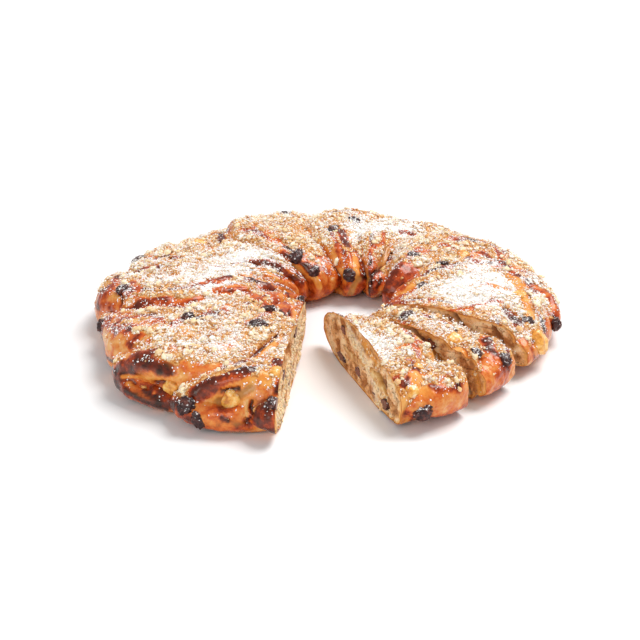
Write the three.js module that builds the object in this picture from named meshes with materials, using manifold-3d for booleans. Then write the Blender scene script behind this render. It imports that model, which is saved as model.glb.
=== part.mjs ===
// An apple cinnamon kringle: a flat ring of folded sweet dough with a filling, raisins, apple pieces
// and streusel, with two cut slices that still lie in the ring's place.
// Millimetres and degrees. +Z is up and the underside lies on Z = 0. Angles turn anticlockwise from +X.
import * as THREE from 'three';
import { mergeVertices } from 'three/addons/utils/BufferGeometryUtils.js';
import Module from 'manifold-3d';

const wasm = await Module();
wasm.setup();

// The ring seen from above: an uneven oval round a hole that is off its middle
const CENTRE = { x: 6.72, y: 8.96 };
const RIM_RADIUS = 147;
const RIM_SHIFT = { amount: 8.5, at: 225 };
const RIM_BUMPS = [
  { at: 322, spread: 26, amount: -8 },
  { at: 139, spread: 16, amount: -13 },
  { at: 200, spread: 9, amount: -5 },
  { at: 219, spread: 12, amount: 5 },
  { at: 243, spread: 20, amount: 8 },
  { at: 262, spread: 8, amount: 4 },
];
const HOLE_RADIUS = 29;
const HOLE_SHIFT = { amount: 7.8, at: 50 };
const HOLE_FRONT = { amount: 12, at: 288, spread: 30 };

// The ring's section: a domed loaf on a flat base, widest at the waist
const CROWN_HEIGHT = 35;
const CROWN_SWELL = { amount: 2.5, at: 190 };
const WAIST_HEIGHT = 13;
const UNDER_DEPTH = 14.5;
const DOME_POWER = 2.35;
const UNDER_POWER = 2.6;

// The folded strands cross the ring from the rim to the hole, and their middles bow forward
const STRAND_BOW = 18;
const BOW_POWER = 2.2;
const CREASE_DEPTH = { crown: 5, rim: 7, hole: 9.5 };
const CREASE_EASE = 3;
const CREST_POWER = 2.2;
const CREST_ROUND = 0.6;
const ROLL_POWER = 4;

// Creases round the ring, each with its depth as a share of CREASE_DEPTH, and the strand after it:
// how far that strand stands up, how far its outer end stands out, and where its crest lies across it
const STRANDS = [
  { crease: -13, depth: 0.7, lift: 0.5, reach: 1.5, crest: 0.25 },
  { crease: 8, depth: 0.9, lift: 1, reach: 1, crest: 0 },
  { crease: 41, depth: 1.7, lift: 0.5, reach: 0.5, crest: 0.3 },
  { crease: 61, depth: 0.9, lift: 1.5, reach: 1, crest: 0.25 },
  { crease: 85, depth: 1, lift: 1.5, reach: 0.5, crest: 0.45 },
  { crease: 119, depth: 1.1, lift: 0.5, reach: 1, crest: 0.25 },
  { crease: 141, depth: 1.2, lift: 0, reach: 1, crest: 0.25 },
  { crease: 163, depth: 1, lift: 1, reach: 2, crest: 0.25 },
  { crease: 187, depth: 1.1, lift: 0.5, reach: 1, crest: 0.25 },
  { crease: 213, depth: 1, lift: 1, reach: 3, crest: -0.45 },
  { crease: 233, depth: 1.1, lift: 1, reach: 2, crest: -0.2 },
  { crease: 251, depth: 0.8, lift: 0.5, reach: 1, crest: 0.25 },
  { crease: 268, depth: 0.8, lift: 0, reach: 0, crest: 0.25 },
  { crease: 285, depth: 0.7, lift: 0, reach: 1, crest: 0.25 },
  { crease: 303, depth: 0.7, lift: 0.5, reach: 1, crest: 0.25 },
  { crease: 322, depth: 0.7, lift: 0, reach: 1, crest: 0.25 },
];

// Bulges and pockets where a roll is tucked under the next, placed along the strands and round the section
const FOLDS = [
  { at: 226, round: 4, wide: 7, tall: 5, lift: -9.5 },
  { at: 224, round: 17, wide: 8, tall: 7, lift: 4.5 },
  { at: 227, round: -9, wide: 7, tall: 7, lift: 2 },
  { at: 244, round: 7, wide: 5.5, tall: 5, lift: -8.5 },
  { at: 240, round: 18, wide: 6, tall: 7, lift: 4 },
  { at: 246, round: -9, wide: 6, tall: 7, lift: 2 },
  { at: 184, round: 15, wide: 2.5, tall: 8, lift: -3 },
  { at: 205, round: 10, wide: 7, tall: 14, lift: 2 },
  { at: 352, round: 6, wide: 3.5, tall: 9, lift: 3 },
  { at: 143, round: 24, wide: 4, tall: 12, lift: 4 },
  { at: 131, round: 45, wide: 5, tall: 30, lift: -4 },
  { at: 133, round: 90, wide: 7, tall: 30, lift: -2 },
  { at: 115, round: 42, wide: 6, tall: 16, lift: 5 },
  { at: 92, round: 60, wide: 6, tall: 26, lift: 2 },
  { at: 76, round: 60, wide: 5, tall: 26, lift: 2 },
  { at: 46, round: 150, wide: 4, tall: 40, lift: -5 },
  { at: 20, round: 158, wide: 9, tall: 18, lift: 4 },
  { at: 286, round: 33, wide: 9, tall: 8, lift: -5 },
  { at: 289, round: 9, wide: 9, tall: 11, lift: 4 },
  { at: 300, round: 38, wide: 6, tall: 10, lift: -3 },
];

// The folds fade out by the sine of the place round the section, down to a flat underside
const FADE = { from: -0.75, over: 0.5 };

// Slow unevenness of the whole surface
const UNEVEN = 0.8;
const UNEVEN_TURNS = 11;
const UNEVEN_ROUND = 3;
const UNEVEN_DRIFT = 5;

// The knife cuts run out from a pivot in the hole: a missing wedge and two slices in the rest of the gap
const CUT_PIVOT = { x: -11.28, y: 8.96 };
const GAP = { from: 264.2, to: 330.6 };
const SLICES = [
  { name: 'end_slice', from: 290.3, to: 307 },
  { name: 'middle_slice', from: 312.4, to: 324.4 },
];
const CUT_REACH = 260;
const CUT_DROP = 20;
const CUT_TALL = 90;
const CUT_SLACK = 1;

// The filling: a wavy band that runs through the middle of the dough
const FILLING_SPREAD = 0.62;
const FILLING_THICK = 4.6;
const FILLING_HEIGHT = 16.5;
const FILLING_WAVE = 3;
const FILLING_RIPPLES = { across: 3, around: 4 };
const FILLING_CORNERS = [
  { across: 1, up: 0.4 },
  { across: 0.5, up: 1 },
  { across: -0.5, up: 1 },
  { across: -1, up: 0.4 },
  { across: -1, up: -0.4 },
  { across: -0.5, up: -1 },
  { across: 0.5, up: -1 },
  { across: 1, up: -0.4 },
];

// Gap that touching pieces keep between them
const CLEARANCE = 0.3;

// Raisins on the surface: place along the strands, place round the section, length, width and turn
const RAISIN_TALL = 0.72;
const RAISIN_WRINKLE = { depth: 0.07, count: 5, lean: 2 };
const RAISIN_FACETS = { around: 8, down: 5 };
const CUT_RAISIN_WIDE = 1.3;
const SURFACE_RAISINS = [
  { at: 178, round: 22, long: 12, wide: 9, turn: 60 },
  { at: 194, round: 4, long: 9, wide: 7, turn: 20 },
  { at: 239, round: 2, long: 12, wide: 10.5, turn: 0 },
  { at: 242, round: -2, long: 12, wide: 7, turn: 90 },
  { at: 254, round: 10, long: 12, wide: 10, turn: 80 },
  { at: 222, round: 91, long: 14, wide: 9.5, turn: 35 },
  { at: 217, round: 136, long: 11, wide: 8, turn: 10 },
  { at: 201, round: 50, long: 9, wide: 7, turn: 40 },
  { at: 113, round: 154, long: 14, wide: 8, turn: 70 },
  { at: 110, round: 168, long: 11, wide: 7, turn: 60 },
  { at: 220, round: 166, long: 8, wide: 6.5, turn: 0 },
  { at: 73, round: 106, long: 13, wide: 7.5, turn: 60 },
  { at: 66, round: 55, long: 11, wide: 8, turn: 10 },
  { at: 74, round: 172, long: 10, wide: 8, turn: 90 },
  { at: 291.5, round: 133, long: 12, wide: 9, turn: 20 },
  { at: 4, round: 124, long: 9, wide: 7, turn: 0 },
  { at: 349, round: 153, long: 9, wide: 7, turn: 80 },
  { at: 22, round: 142, long: 9, wide: 6.5, turn: 30 },
  { at: 349.5, round: 0, long: 10.5, wide: 9.5, turn: 0 },
  { at: 330, round: 18, long: 10, wide: 8, turn: 50 },
  { at: 36, round: 24, long: 11, wide: 8, turn: 20 },
  { at: 156, round: 18, long: 11, wide: 8, turn: 50 },
  { at: 96, round: 26, long: 10, wide: 8, turn: 0 },
  { at: 288.6, round: 0, long: 13, wide: 11, turn: 30 },
  { at: 314, round: 10, long: 9, wide: 8, turn: 60 },
  { at: 301, round: 22, long: 9, wide: 7, turn: 30 },
];

// Raisins sliced flat at a cut: distance out from the pivot along the cut, height, length, upright size
const CUT_RAISINS = [
  { cut: 264.2, out: 66, up: 26, long: 13, tall: 6 },
  { cut: 264.2, out: 97, up: 9, long: 14, tall: 5.5 },
  { cut: 264.2, out: 122, up: 25, long: 11, tall: 6 },
  { cut: 290.3, out: 60, up: 5.5, long: 12, tall: 6.5 },
  { cut: 290.3, out: 64, up: 25, long: 10, tall: 5.5 },
  { cut: 290.3, out: 89, up: 8, long: 12, tall: 7 },
  { cut: 290.3, out: 117, up: 8, long: 12, tall: 7 },
  { cut: 290.3, out: 131, up: 7.5, long: 10, tall: 8 },
  { cut: 312.4, out: 108, up: 26, long: 14, tall: 6.5 },
  { cut: 330.6, out: 118, up: 8, long: 11, tall: 6 },
];

// Apple pieces that stick out of the filling: place along the strands, round the section, size and turn
const APPLE_LONG = 1.15;
const APPLE_TALL = 0.75;
const APPLE_SUNK = 0.17;
const APPLE_SOFT = { radius: 0.62, share: 0.75 };
const APPLE_PIECES = [
  { at: 231, round: 7, size: 7.5, turn: 20 },
  { at: 245, round: 9, size: 9, turn: 40 },
  { at: 244.5, round: 23, size: 7, turn: 70 },
  { at: 279.5, round: 28, size: 5.5, turn: 10 },
  { at: 285.5, round: 20.5, size: 7, turn: 50 },
  { at: 283.5, round: 12, size: 6.5, turn: 35 },
  { at: 293.5, round: 42, size: 8, turn: 50 },
  { at: 334.5, round: 4, size: 11.5, turn: 15 },
  { at: 339, round: 30, size: 7.5, turn: 60 },
  { at: 12, round: 64, size: 8, turn: 30 },
  { at: 132, round: 32, size: 8, turn: 0 },
];

// Streusel lumps baked onto the top
const STREUSEL_TRIES = 64;
const STREUSEL_SIZE = { least: 2.8, most: 4.6 };
const STREUSEL_ROUND = { from: 30, to: 138 };
const STREUSEL_STRIDE = { at: 0.618034, round: 0.754878 };
const STREUSEL_JITTER = 6;
const STREUSEL_SEED = 2611;
const STREUSEL_LIFT = 0.15;
const STREUSEL_STRETCH = { wide: [0.85, 1.25], tall: [0.75, 1] };
const STREUSEL_CUT_MARGIN = 1.6;
const STREUSEL_CLEAR = 11;

// Facets
const STEPS_PER_STRAND = [-1, -0.6, 0, 0.5, 0.85];
const ROUND_STEPS = 24;
const ROUND_FLATNESS = 0.45;
const FILLING_STEPS = 40;
const SLOPE_STEP = 0.001;
const NORMAL_STEP = { at: 0.8, round: 1.5 };
const MERGE_DISTANCE = 1e-5;

// Colours, as sRGB
const COLOURS = {
  dough: 0xc98a4b,
  filling: 0xe3b878,
  raisin: 0x2e1a17,
  apple: 0xf0cf74,
};

const rad = THREE.MathUtils.degToRad;
const lerp = THREE.MathUtils.lerp;
const clamp = THREE.MathUtils.clamp;

function wrap(angle) {
  return THREE.MathUtils.euclideanModulo(angle + 180, 360) - 180;
}

function hump(distance, spread) {
  return Math.exp(-((distance / spread) ** 2));
}

// A random number maker that gives the same row of numbers each time, by a linear congruence
const CONGRUENCE = { times: 1664525, plus: 1013904223, modulus: 2 ** 32 };

function seededRandom(seed) {
  let state = seed;
  return () => {
    state = (state * CONGRUENCE.times + CONGRUENCE.plus) % CONGRUENCE.modulus;
    return state / CONGRUENCE.modulus;
  };
}

// Hole radius, rim radius and crown height at an angle round the centre
function loafSize(angle) {
  const hole = HOLE_RADIUS
    + HOLE_SHIFT.amount * Math.cos(rad(angle - HOLE_SHIFT.at))
    + HOLE_FRONT.amount * hump(wrap(angle - HOLE_FRONT.at), HOLE_FRONT.spread);
  let rim = RIM_RADIUS + RIM_SHIFT.amount * Math.cos(rad(angle - RIM_SHIFT.at));
  for (const bump of RIM_BUMPS) {
    rim += bump.amount * hump(wrap(angle - bump.at), bump.spread);
  }
  const crown = CROWN_HEIGHT + CROWN_SWELL.amount * Math.cos(rad(angle - CROWN_SWELL.at));
  return { hole, rim, crown, middle: (rim + hole) / 2, half: (rim - hole) / 2 };
}

// Distance from the section's core to its smooth outline: a superellipse, taller above the waist than below
function sectionRadius(round, half, crown) {
  const c = Math.cos(round);
  const s = Math.sin(round);
  const above = s > 0;
  const tall = above ? crown - WAIST_HEIGHT : UNDER_DEPTH;
  const power = above ? DOME_POWER : UNDER_POWER;
  return (Math.abs(c / half) ** power + Math.abs(s / tall) ** power) ** (-1 / power);
}

// The strand under an angle, and how far across it the angle lies, from -1 at its crease to 1 at the next
function strandUnder(angle) {
  const count = STRANDS.length;
  const turned = THREE.MathUtils.euclideanModulo(angle - STRANDS[0].crease, 360) + STRANDS[0].crease;
  let k = count - 1;
  while (STRANDS[k].crease > turned) {
    k -= 1;
  }
  const next = STRANDS[(k + 1) % count];
  const end = next.crease + (k === count - 1 ? 360 : 0);
  const share = (turned - STRANDS[k].crease) / (end - STRANDS[k].crease);
  return { strand: STRANDS[k], depth: lerp(STRANDS[k].depth, next.depth, share), across: 2 * share - 1 };
}

// Height of a strand's rounded back: 0 in its creases and 1 on its crest, which leans to one side
function strandBack(across, crest) {
  const run = across > crest ? 1 - crest : 1 + crest;
  return Math.max(1 - Math.abs((across - crest) / run) ** CREST_POWER, 0) ** CREST_ROUND;
}

// A point of the loaf's surface: angle follows the strands, round goes round the section from the rim
function loafPoint(angle, roundDegrees) {
  const round = rad(roundDegrees);
  const first = loafSize(angle);
  const side = clamp(Math.cos(round) * sectionRadius(round, first.half, first.crown) / first.half, -1, 1);
  const theta = angle + STRAND_BOW * (1 - Math.abs(side) ** BOW_POWER);
  const size = loafSize(theta);
  const reach = sectionRadius(round, size.half, size.crown);
  const next = round + SLOPE_STEP;
  const ahead = sectionRadius(next, size.half, size.crown);
  const x = reach * Math.cos(round);
  const z = reach * Math.sin(round);
  const along = new THREE.Vector2(ahead * Math.cos(next) - x, ahead * Math.sin(next) - z);
  along.normalize();
  const { strand, depth, across } = strandUnder(angle);
  const back = strandBack(across, strand.crest);
  const sideDepth = side > 0 ? CREASE_DEPTH.rim : CREASE_DEPTH.hole;
  const creaseDepth = depth * lerp(CREASE_DEPTH.crown, sideDepth, Math.abs(side) ** CREASE_EASE);
  const lift = strand.lift + strand.reach * Math.max(side, 0) ** ROLL_POWER;
  let move = lift * back - creaseDepth * (1 - back);
  for (const fold of FOLDS) {
    const near = hump(wrap(angle - fold.at), fold.wide) * hump(wrap(roundDegrees - fold.round), fold.tall);
    move += fold.lift * near;
  }
  const drift = UNEVEN_ROUND * round + UNEVEN_DRIFT * rad(angle);
  move += UNEVEN * Math.sin(UNEVEN_TURNS * rad(angle)) * Math.sin(drift);
  move *= clamp((Math.sin(round) - FADE.from) / FADE.over, 0, 1);
  const outX = x + along.y * move;
  const up = Math.max(z - along.x * move + WAIST_HEIGHT, 0);
  const radius = size.middle + outX;
  return new THREE.Vector3(
    CENTRE.x + radius * Math.cos(rad(theta)),
    CENTRE.y + radius * Math.sin(rad(theta)),
    up,
  );
}

// The outward direction of the surface at a place, from two short steps along it
function loafNormal(angle, round) {
  const here = loafPoint(angle, round);
  const turn = loafPoint(angle + NORMAL_STEP.at, round).sub(loafPoint(angle - NORMAL_STEP.at, round));
  const rise = loafPoint(angle, round + NORMAL_STEP.round).sub(loafPoint(angle, round - NORMAL_STEP.round));
  return { here, normal: turn.cross(rise).normalize() };
}

// A closed skin over a grid that joins up both ways, with its faces outwards
function closedGrid(columns, rows, pointAt) {
  const positions = [];
  for (let i = 0; i < columns; i += 1) {
    for (let j = 0; j < rows; j += 1) {
      positions.push(...pointAt(i, j));
    }
  }
  const index = [];
  for (let i = 0; i < columns; i += 1) {
    const ahead = (i + 1) % columns;
    for (let j = 0; j < rows; j += 1) {
      const up = (j + 1) % rows;
      const a = i * rows + j;
      const b = ahead * rows + j;
      const c = ahead * rows + up;
      const d = i * rows + up;
      index.push(a, b, c, a, c, d);
    }
  }
  const geometry = new THREE.BufferGeometry();
  geometry.setAttribute('position', new THREE.Float32BufferAttribute(positions, 3));
  geometry.setIndex(index);
  return geometry;
}

// A closed mesh as a solid that can be joined and cut
function solidOf(source) {
  const bare = source.clone();
  for (const name of Object.keys(bare.attributes)) {
    if (name !== 'position') {
      bare.deleteAttribute(name);
    }
  }
  const merged = mergeVertices(bare, MERGE_DISTANCE);
  const mesh = new wasm.Mesh({
    numProp: 3,
    vertProperties: new Float32Array(merged.attributes.position.array),
    triVerts: new Uint32Array(merged.index.array),
  });
  return new wasm.Manifold(mesh);
}

// The largest body of a solid, without any scraps that a cut left loose
function largestBody(solid) {
  const bodies = solid.decompose();
  return bodies.reduce((best, body) => (body.volume() > best.volume() ? body : best));
}

function geometryOf(solid) {
  const mesh = solid.getMesh();
  const geometry = new THREE.BufferGeometry();
  geometry.setAttribute('position', new THREE.BufferAttribute(new Float32Array(mesh.vertProperties), 3));
  geometry.setIndex(new THREE.BufferAttribute(new Uint32Array(mesh.triVerts), 1));
  return geometry;
}

// The whole loaf before it is cut
function wholeLoaf() {
  const angles = [];
  STRANDS.forEach((strand, k) => {
    const end = k + 1 < STRANDS.length ? STRANDS[k + 1].crease : STRANDS[0].crease + 360;
    for (const across of STEPS_PER_STRAND) {
      angles.push(lerp(strand.crease, end, (across + 1) / 2));
    }
  });
  const rounds = [];
  for (let j = 0; j < ROUND_STEPS; j += 1) {
    const turn = (2 * Math.PI * j) / ROUND_STEPS;
    rounds.push(THREE.MathUtils.radToDeg(Math.atan2(ROUND_FLATNESS * Math.sin(turn), Math.cos(turn))));
  }
  const skin = closedGrid(angles.length, rounds.length, (i, j) => loafPoint(angles[i], rounds[j]));
  return solidOf(skin);
}

// The filling band all round, thicker or thinner by grow on every side
function fillingBand(grow) {
  const skin = closedGrid(FILLING_STEPS, FILLING_CORNERS.length, (i, j) => {
    const theta = (360 * i) / FILLING_STEPS;
    const size = loafSize(theta);
    const { across, up } = FILLING_CORNERS[j];
    const outwards = Math.abs(across) === 1 ? Math.sign(across) * grow : 0;
    const ripple = FILLING_RIPPLES.across * across + rad(FILLING_RIPPLES.around * theta);
    const wave = FILLING_WAVE * Math.sin(ripple);
    const radius = size.middle + FILLING_SPREAD * size.half * across + outwards;
    return new THREE.Vector3(
      CENTRE.x + radius * Math.cos(rad(theta)),
      CENTRE.y + radius * Math.sin(rad(theta)),
      FILLING_HEIGHT + wave + (up * FILLING_THICK) / 2 + Math.sign(up) * grow,
    );
  });
  return solidOf(skin);
}

// An upright wedge of space between two cuts
function cutWedge(from, to) {
  const outline = new THREE.Shape();
  outline.moveTo(CUT_PIVOT.x, CUT_PIVOT.y);
  for (const cut of [from, to]) {
    outline.lineTo(CUT_PIVOT.x + CUT_REACH * Math.cos(rad(cut)), CUT_PIVOT.y + CUT_REACH * Math.sin(rad(cut)));
  }
  const wedge = new THREE.ExtrudeGeometry(outline, { depth: CUT_TALL, bevelEnabled: false });
  wedge.translate(0, 0, -CUT_DROP);
  return solidOf(wedge);
}

// A wrinkled raisin round its own middle
function raisinShape(long, wide, tall, grow) {
  const ball = new THREE.SphereGeometry(1, RAISIN_FACETS.around, RAISIN_FACETS.down);
  const spots = ball.attributes.position;
  for (let i = 0; i < spots.count; i += 1) {
    const p = new THREE.Vector3().fromBufferAttribute(spots, i);
    const turn = RAISIN_WRINKLE.count * Math.atan2(p.y, p.x) + RAISIN_WRINKLE.lean * p.z;
    const wrinkle = 1 + RAISIN_WRINKLE.depth * Math.sin(turn) * (1 - p.z * p.z);
    p.x *= (long / 2) * wrinkle + grow;
    p.y *= (wide / 2) * wrinkle + grow;
    p.z *= (tall / 2) * wrinkle + grow;
    spots.setXYZ(i, p.x, p.y, p.z);
  }
  return ball;
}

// A cut cube of cooked apple with soft corners
function appleShape(size, grow) {
  const cube = new THREE.BoxGeometry(1, 1, 1, 2, 2, 2);
  const spots = cube.attributes.position;
  for (let i = 0; i < spots.count; i += 1) {
    const p = new THREE.Vector3().fromBufferAttribute(spots, i);
    const soft = lerp(1, APPLE_SOFT.radius / p.length(), APPLE_SOFT.share);
    spots.setXYZ(
      i,
      p.x * soft * (size * APPLE_LONG + 2 * grow),
      p.y * soft * (size + 2 * grow),
      p.z * soft * (size * APPLE_TALL + 2 * grow),
    );
  }
  return cube;
}

// Lays a shape on the loaf, its flat side to the surface, with its middle lifted by up
function layOnLoaf(shape, at, round, turn, up) {
  const { here, normal } = loafNormal(at, round);
  const upright = new THREE.Quaternion().setFromUnitVectors(new THREE.Vector3(0, 0, 1), normal);
  const twist = new THREE.Quaternion().setFromAxisAngle(new THREE.Vector3(0, 0, 1), rad(turn));
  const place = here.clone().addScaledVector(normal, up);
  const matrix = new THREE.Matrix4().compose(place, upright.multiply(twist), new THREE.Vector3(1, 1, 1));
  shape.applyMatrix4(matrix);
  return { shape, place };
}

// Stands a shape across a cut, its long side along the cut
function layInCut(shape, item) {
  const inwards = item.cut === GAP.from ? -1 : 1;
  const direction = new THREE.Vector2(Math.cos(rad(item.cut)), Math.sin(rad(item.cut)));
  shape.rotateZ(rad(item.cut));
  const place = new THREE.Vector3(
    CUT_PIVOT.x + direction.x * item.out - direction.y * inwards,
    CUT_PIVOT.y + direction.y * item.out + direction.x * inwards,
    item.up,
  );
  shape.translate(place.x, place.y, place.z);
  return { shape, place };
}

// The two-part name of the piece of loaf that a point lies in
function pieceAt(place) {
  const angle = THREE.MathUtils.radToDeg(Math.atan2(place.y - CUT_PIVOT.y, place.x - CUT_PIVOT.x));
  const turned = THREE.MathUtils.euclideanModulo(angle, 360);
  const slice = SLICES.find((one) => turned > one.from - CUT_SLACK && turned < one.to + CUT_SLACK);
  return slice ? slice.name : 'ring';
}

// Every raisin and apple piece as a solid, with the slightly larger solid that its socket is cut by
function toppings() {
  const list = [];
  SURFACE_RAISINS.forEach((r) => {
    const tall = r.wide * RAISIN_TALL;
    const lay = (grow) => layOnLoaf(raisinShape(r.long, r.wide, tall, grow), r.at, r.round, r.turn, 0);
    list.push({ kind: 'raisin', ...solidPair(lay) });
  });
  CUT_RAISINS.forEach((r) => {
    const lay = (grow) => layInCut(raisinShape(r.long, r.tall * CUT_RAISIN_WIDE, r.tall, grow), r);
    list.push({ kind: 'raisin', ...solidPair(lay) });
  });
  APPLE_PIECES.forEach((a) => {
    const lay = (grow) => layOnLoaf(appleShape(a.size, grow), a.at, a.round, a.turn, -a.size * APPLE_SUNK);
    list.push({ kind: 'apple', ...solidPair(lay) });
  });
  return list;
}

function solidPair(lay) {
  const body = lay(0);
  const socket = lay(CLEARANCE);
  return { place: body.place, body: solidOf(body.shape), socket: solidOf(socket.shape) };
}

// Streusel lumps spread over the top, away from the larger toppings and the cuts
function streusel(taken) {
  const random = seededRandom(STREUSEL_SEED);
  const lumps = [];
  for (let i = 0; i < STREUSEL_TRIES; i += 1) {
    const at = 360 * ((i * STREUSEL_STRIDE.at) % 1) + STREUSEL_JITTER * (random() - 0.5);
    const share = (i * STREUSEL_STRIDE.round) % 1;
    const round = lerp(STREUSEL_ROUND.from, STREUSEL_ROUND.to, share);
    const size = lerp(STREUSEL_SIZE.least, STREUSEL_SIZE.most, random() ** 2);
    const { here, normal } = loafNormal(at, round);
    const clear = taken.every((place) => place.distanceTo(here) > STREUSEL_CLEAR);
    if (!clear || nearCut(here)) {
      continue;
    }
    const lump = new THREE.IcosahedronGeometry(size, 0);
    const { wide, tall } = STREUSEL_STRETCH;
    lump.scale(lerp(...wide, random()), lerp(...wide, random()), lerp(...tall, random()));
    lump.rotateX(2 * Math.PI * random());
    lump.rotateZ(2 * Math.PI * random());
    const place = here.clone().addScaledVector(normal, size * STREUSEL_LIFT);
    lump.translate(place.x, place.y, place.z);
    lumps.push({ here, solid: solidOf(lump) });
  }
  return lumps;
}

// Whether a point lies within a lump's width of a cut or in the missing wedge
function nearCut(place) {
  const dx = place.x - CUT_PIVOT.x;
  const dy = place.y - CUT_PIVOT.y;
  const distance = Math.hypot(dx, dy);
  const angle = THREE.MathUtils.euclideanModulo(THREE.MathUtils.radToDeg(Math.atan2(dy, dx)), 360);
  const margin = THREE.MathUtils.radToDeg((STREUSEL_SIZE.most * STREUSEL_CUT_MARGIN) / distance);
  const inside = (from, to) => angle > from + margin && angle < to - margin;
  const kept = [[GAP.to - 360, GAP.from], [GAP.to, GAP.from + 360]];
  const slices = SLICES.map((slice) => [slice.from, slice.to]);
  return ![...kept, ...slices].some(([from, to]) => inside(from, to));
}

const group = new THREE.Group();

function addPiece(name, solid, colour, roughness) {
  const finish = { color: colour, roughness, metalness: 0, flatShading: true };
  const material = new THREE.MeshStandardMaterial(finish);
  const mesh = new THREE.Mesh(geometryOf(solid), material);
  mesh.name = name;
  group.add(mesh);
}

const loaf = wholeLoaf();
const band = fillingBand(0);
const bandRoom = fillingBand(CLEARANCE);
const extras = toppings();
const lumps = streusel(extras.map((extra) => extra.place));
const gapWedge = cutWedge(GAP.from, GAP.to);

const pieces = [
  { name: 'ring', trim: (solid) => solid.subtract(gapWedge) },
  ...SLICES.map((slice) => {
    const wedge = cutWedge(slice.from, slice.to);
    return { name: slice.name, trim: (solid) => solid.intersect(wedge) };
  }),
];

const counts = { raisin: 0, apple: 0 };
for (const piece of pieces) {
  const own = extras.filter((extra) => pieceAt(extra.place) === piece.name);
  let dough = piece.trim(loaf);
  for (const lump of lumps) {
    if (pieceAt(lump.here) === piece.name) {
      dough = dough.add(piece.trim(lump.solid));
    }
  }
  dough = dough.subtract(bandRoom);
  let filling = piece.trim(band);
  for (const extra of own) {
    dough = dough.subtract(extra.socket);
    filling = filling.subtract(extra.socket);
  }
  addPiece(`${piece.name}_dough`, largestBody(dough), COLOURS.dough, 0.5);
  addPiece(`${piece.name}_filling`, largestBody(filling), COLOURS.filling, 0.6);
  for (const extra of own) {
    counts[extra.kind] += 1;
    const number = String(counts[extra.kind]).padStart(2, '0');
    addPiece(`${extra.kind}_${number}`, largestBody(piece.trim(extra.body)), COLOURS[extra.kind], 0.45);
  }
}

export default group;
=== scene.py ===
"""Looks of an apple cinnamon kringle: glossy folded crust, cut crumb, streusel, sugar, raisins and apple.

The loaf's form is worked out in millimetres from the same sizes as its solids, then stored in metres.
"""
import functools

import bmesh
import bpy
import numpy as np
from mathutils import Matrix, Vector


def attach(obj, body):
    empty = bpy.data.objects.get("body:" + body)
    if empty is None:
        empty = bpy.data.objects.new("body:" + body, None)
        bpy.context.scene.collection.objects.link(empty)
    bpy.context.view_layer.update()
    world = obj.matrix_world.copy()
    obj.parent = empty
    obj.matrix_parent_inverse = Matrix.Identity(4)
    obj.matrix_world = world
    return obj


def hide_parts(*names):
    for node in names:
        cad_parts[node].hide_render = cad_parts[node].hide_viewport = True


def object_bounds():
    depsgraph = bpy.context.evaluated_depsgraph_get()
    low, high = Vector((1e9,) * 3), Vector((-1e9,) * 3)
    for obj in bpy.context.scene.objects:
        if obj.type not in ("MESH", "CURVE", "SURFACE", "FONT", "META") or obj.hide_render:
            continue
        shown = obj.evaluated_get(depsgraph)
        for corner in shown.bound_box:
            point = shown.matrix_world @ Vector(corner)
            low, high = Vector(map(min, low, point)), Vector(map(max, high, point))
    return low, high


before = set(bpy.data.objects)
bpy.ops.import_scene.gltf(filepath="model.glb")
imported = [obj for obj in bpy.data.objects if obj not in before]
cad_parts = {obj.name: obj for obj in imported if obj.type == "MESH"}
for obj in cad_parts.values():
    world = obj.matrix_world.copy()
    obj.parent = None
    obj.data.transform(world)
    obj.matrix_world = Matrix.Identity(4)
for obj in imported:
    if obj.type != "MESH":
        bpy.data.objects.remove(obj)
cad_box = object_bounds()

MM = 0.001

# Camera: where it stands and where the photograph shows the middle of the ring
VIEW_ELEVATION = 25.0
VIEW_DISTANCE = 1000.0
VIEW_TARGET = np.array([2.72, 2.96, 0.0])
TARGET_PIXEL = (330.0, 330.0)
IMAGE_SIZE = 640.0
PIXELS_PER_RADIAN = 1553.0
SENSOR = 36.0

# The ring seen from above: an uneven oval round a hole that is off its middle
CENTRE = (6.72, 8.96)
RIM_RADIUS = 147.0
RIM_SHIFT, RIM_SHIFT_AT = 8.5, 225.0
HOLE_RADIUS = 29.0
HOLE_SHIFT, HOLE_SHIFT_AT = 7.8, 50.0
HOLE_FRONT, HOLE_FRONT_AT, HOLE_FRONT_SPREAD = 12.0, 288.0, 30.0

# Places where the rim stands in or out: angle, spread and amount
RIM_BUMPS = [
    (322, 26, -8),
    (139, 16, -13),
    (200, 9, -5),
    (219, 12, 5),
    (243, 20, 8),
    (262, 8, 4),
]

# The ring's section: a domed loaf on a flat base, widest at the waist
CROWN_HEIGHT = 35.0
CROWN_SWELL, CROWN_SWELL_AT = 2.5, 190.0
WAIST_HEIGHT = 13.0
UNDER_DEPTH = 14.5
DOME_POWER = 2.35
UNDER_POWER = 2.6

# The folded strands cross the ring from the rim to the hole, and their middles bow forward
STRAND_BOW = 18.0
BOW_POWER = 2.2
CREASE_CROWN, CREASE_RIM, CREASE_HOLE = 5.0, 7.0, 9.5
CREASE_EASE = 3
CREST_POWER = 2.2
CREST_ROUND = 0.6
ROLL_POWER = 4.0

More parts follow.
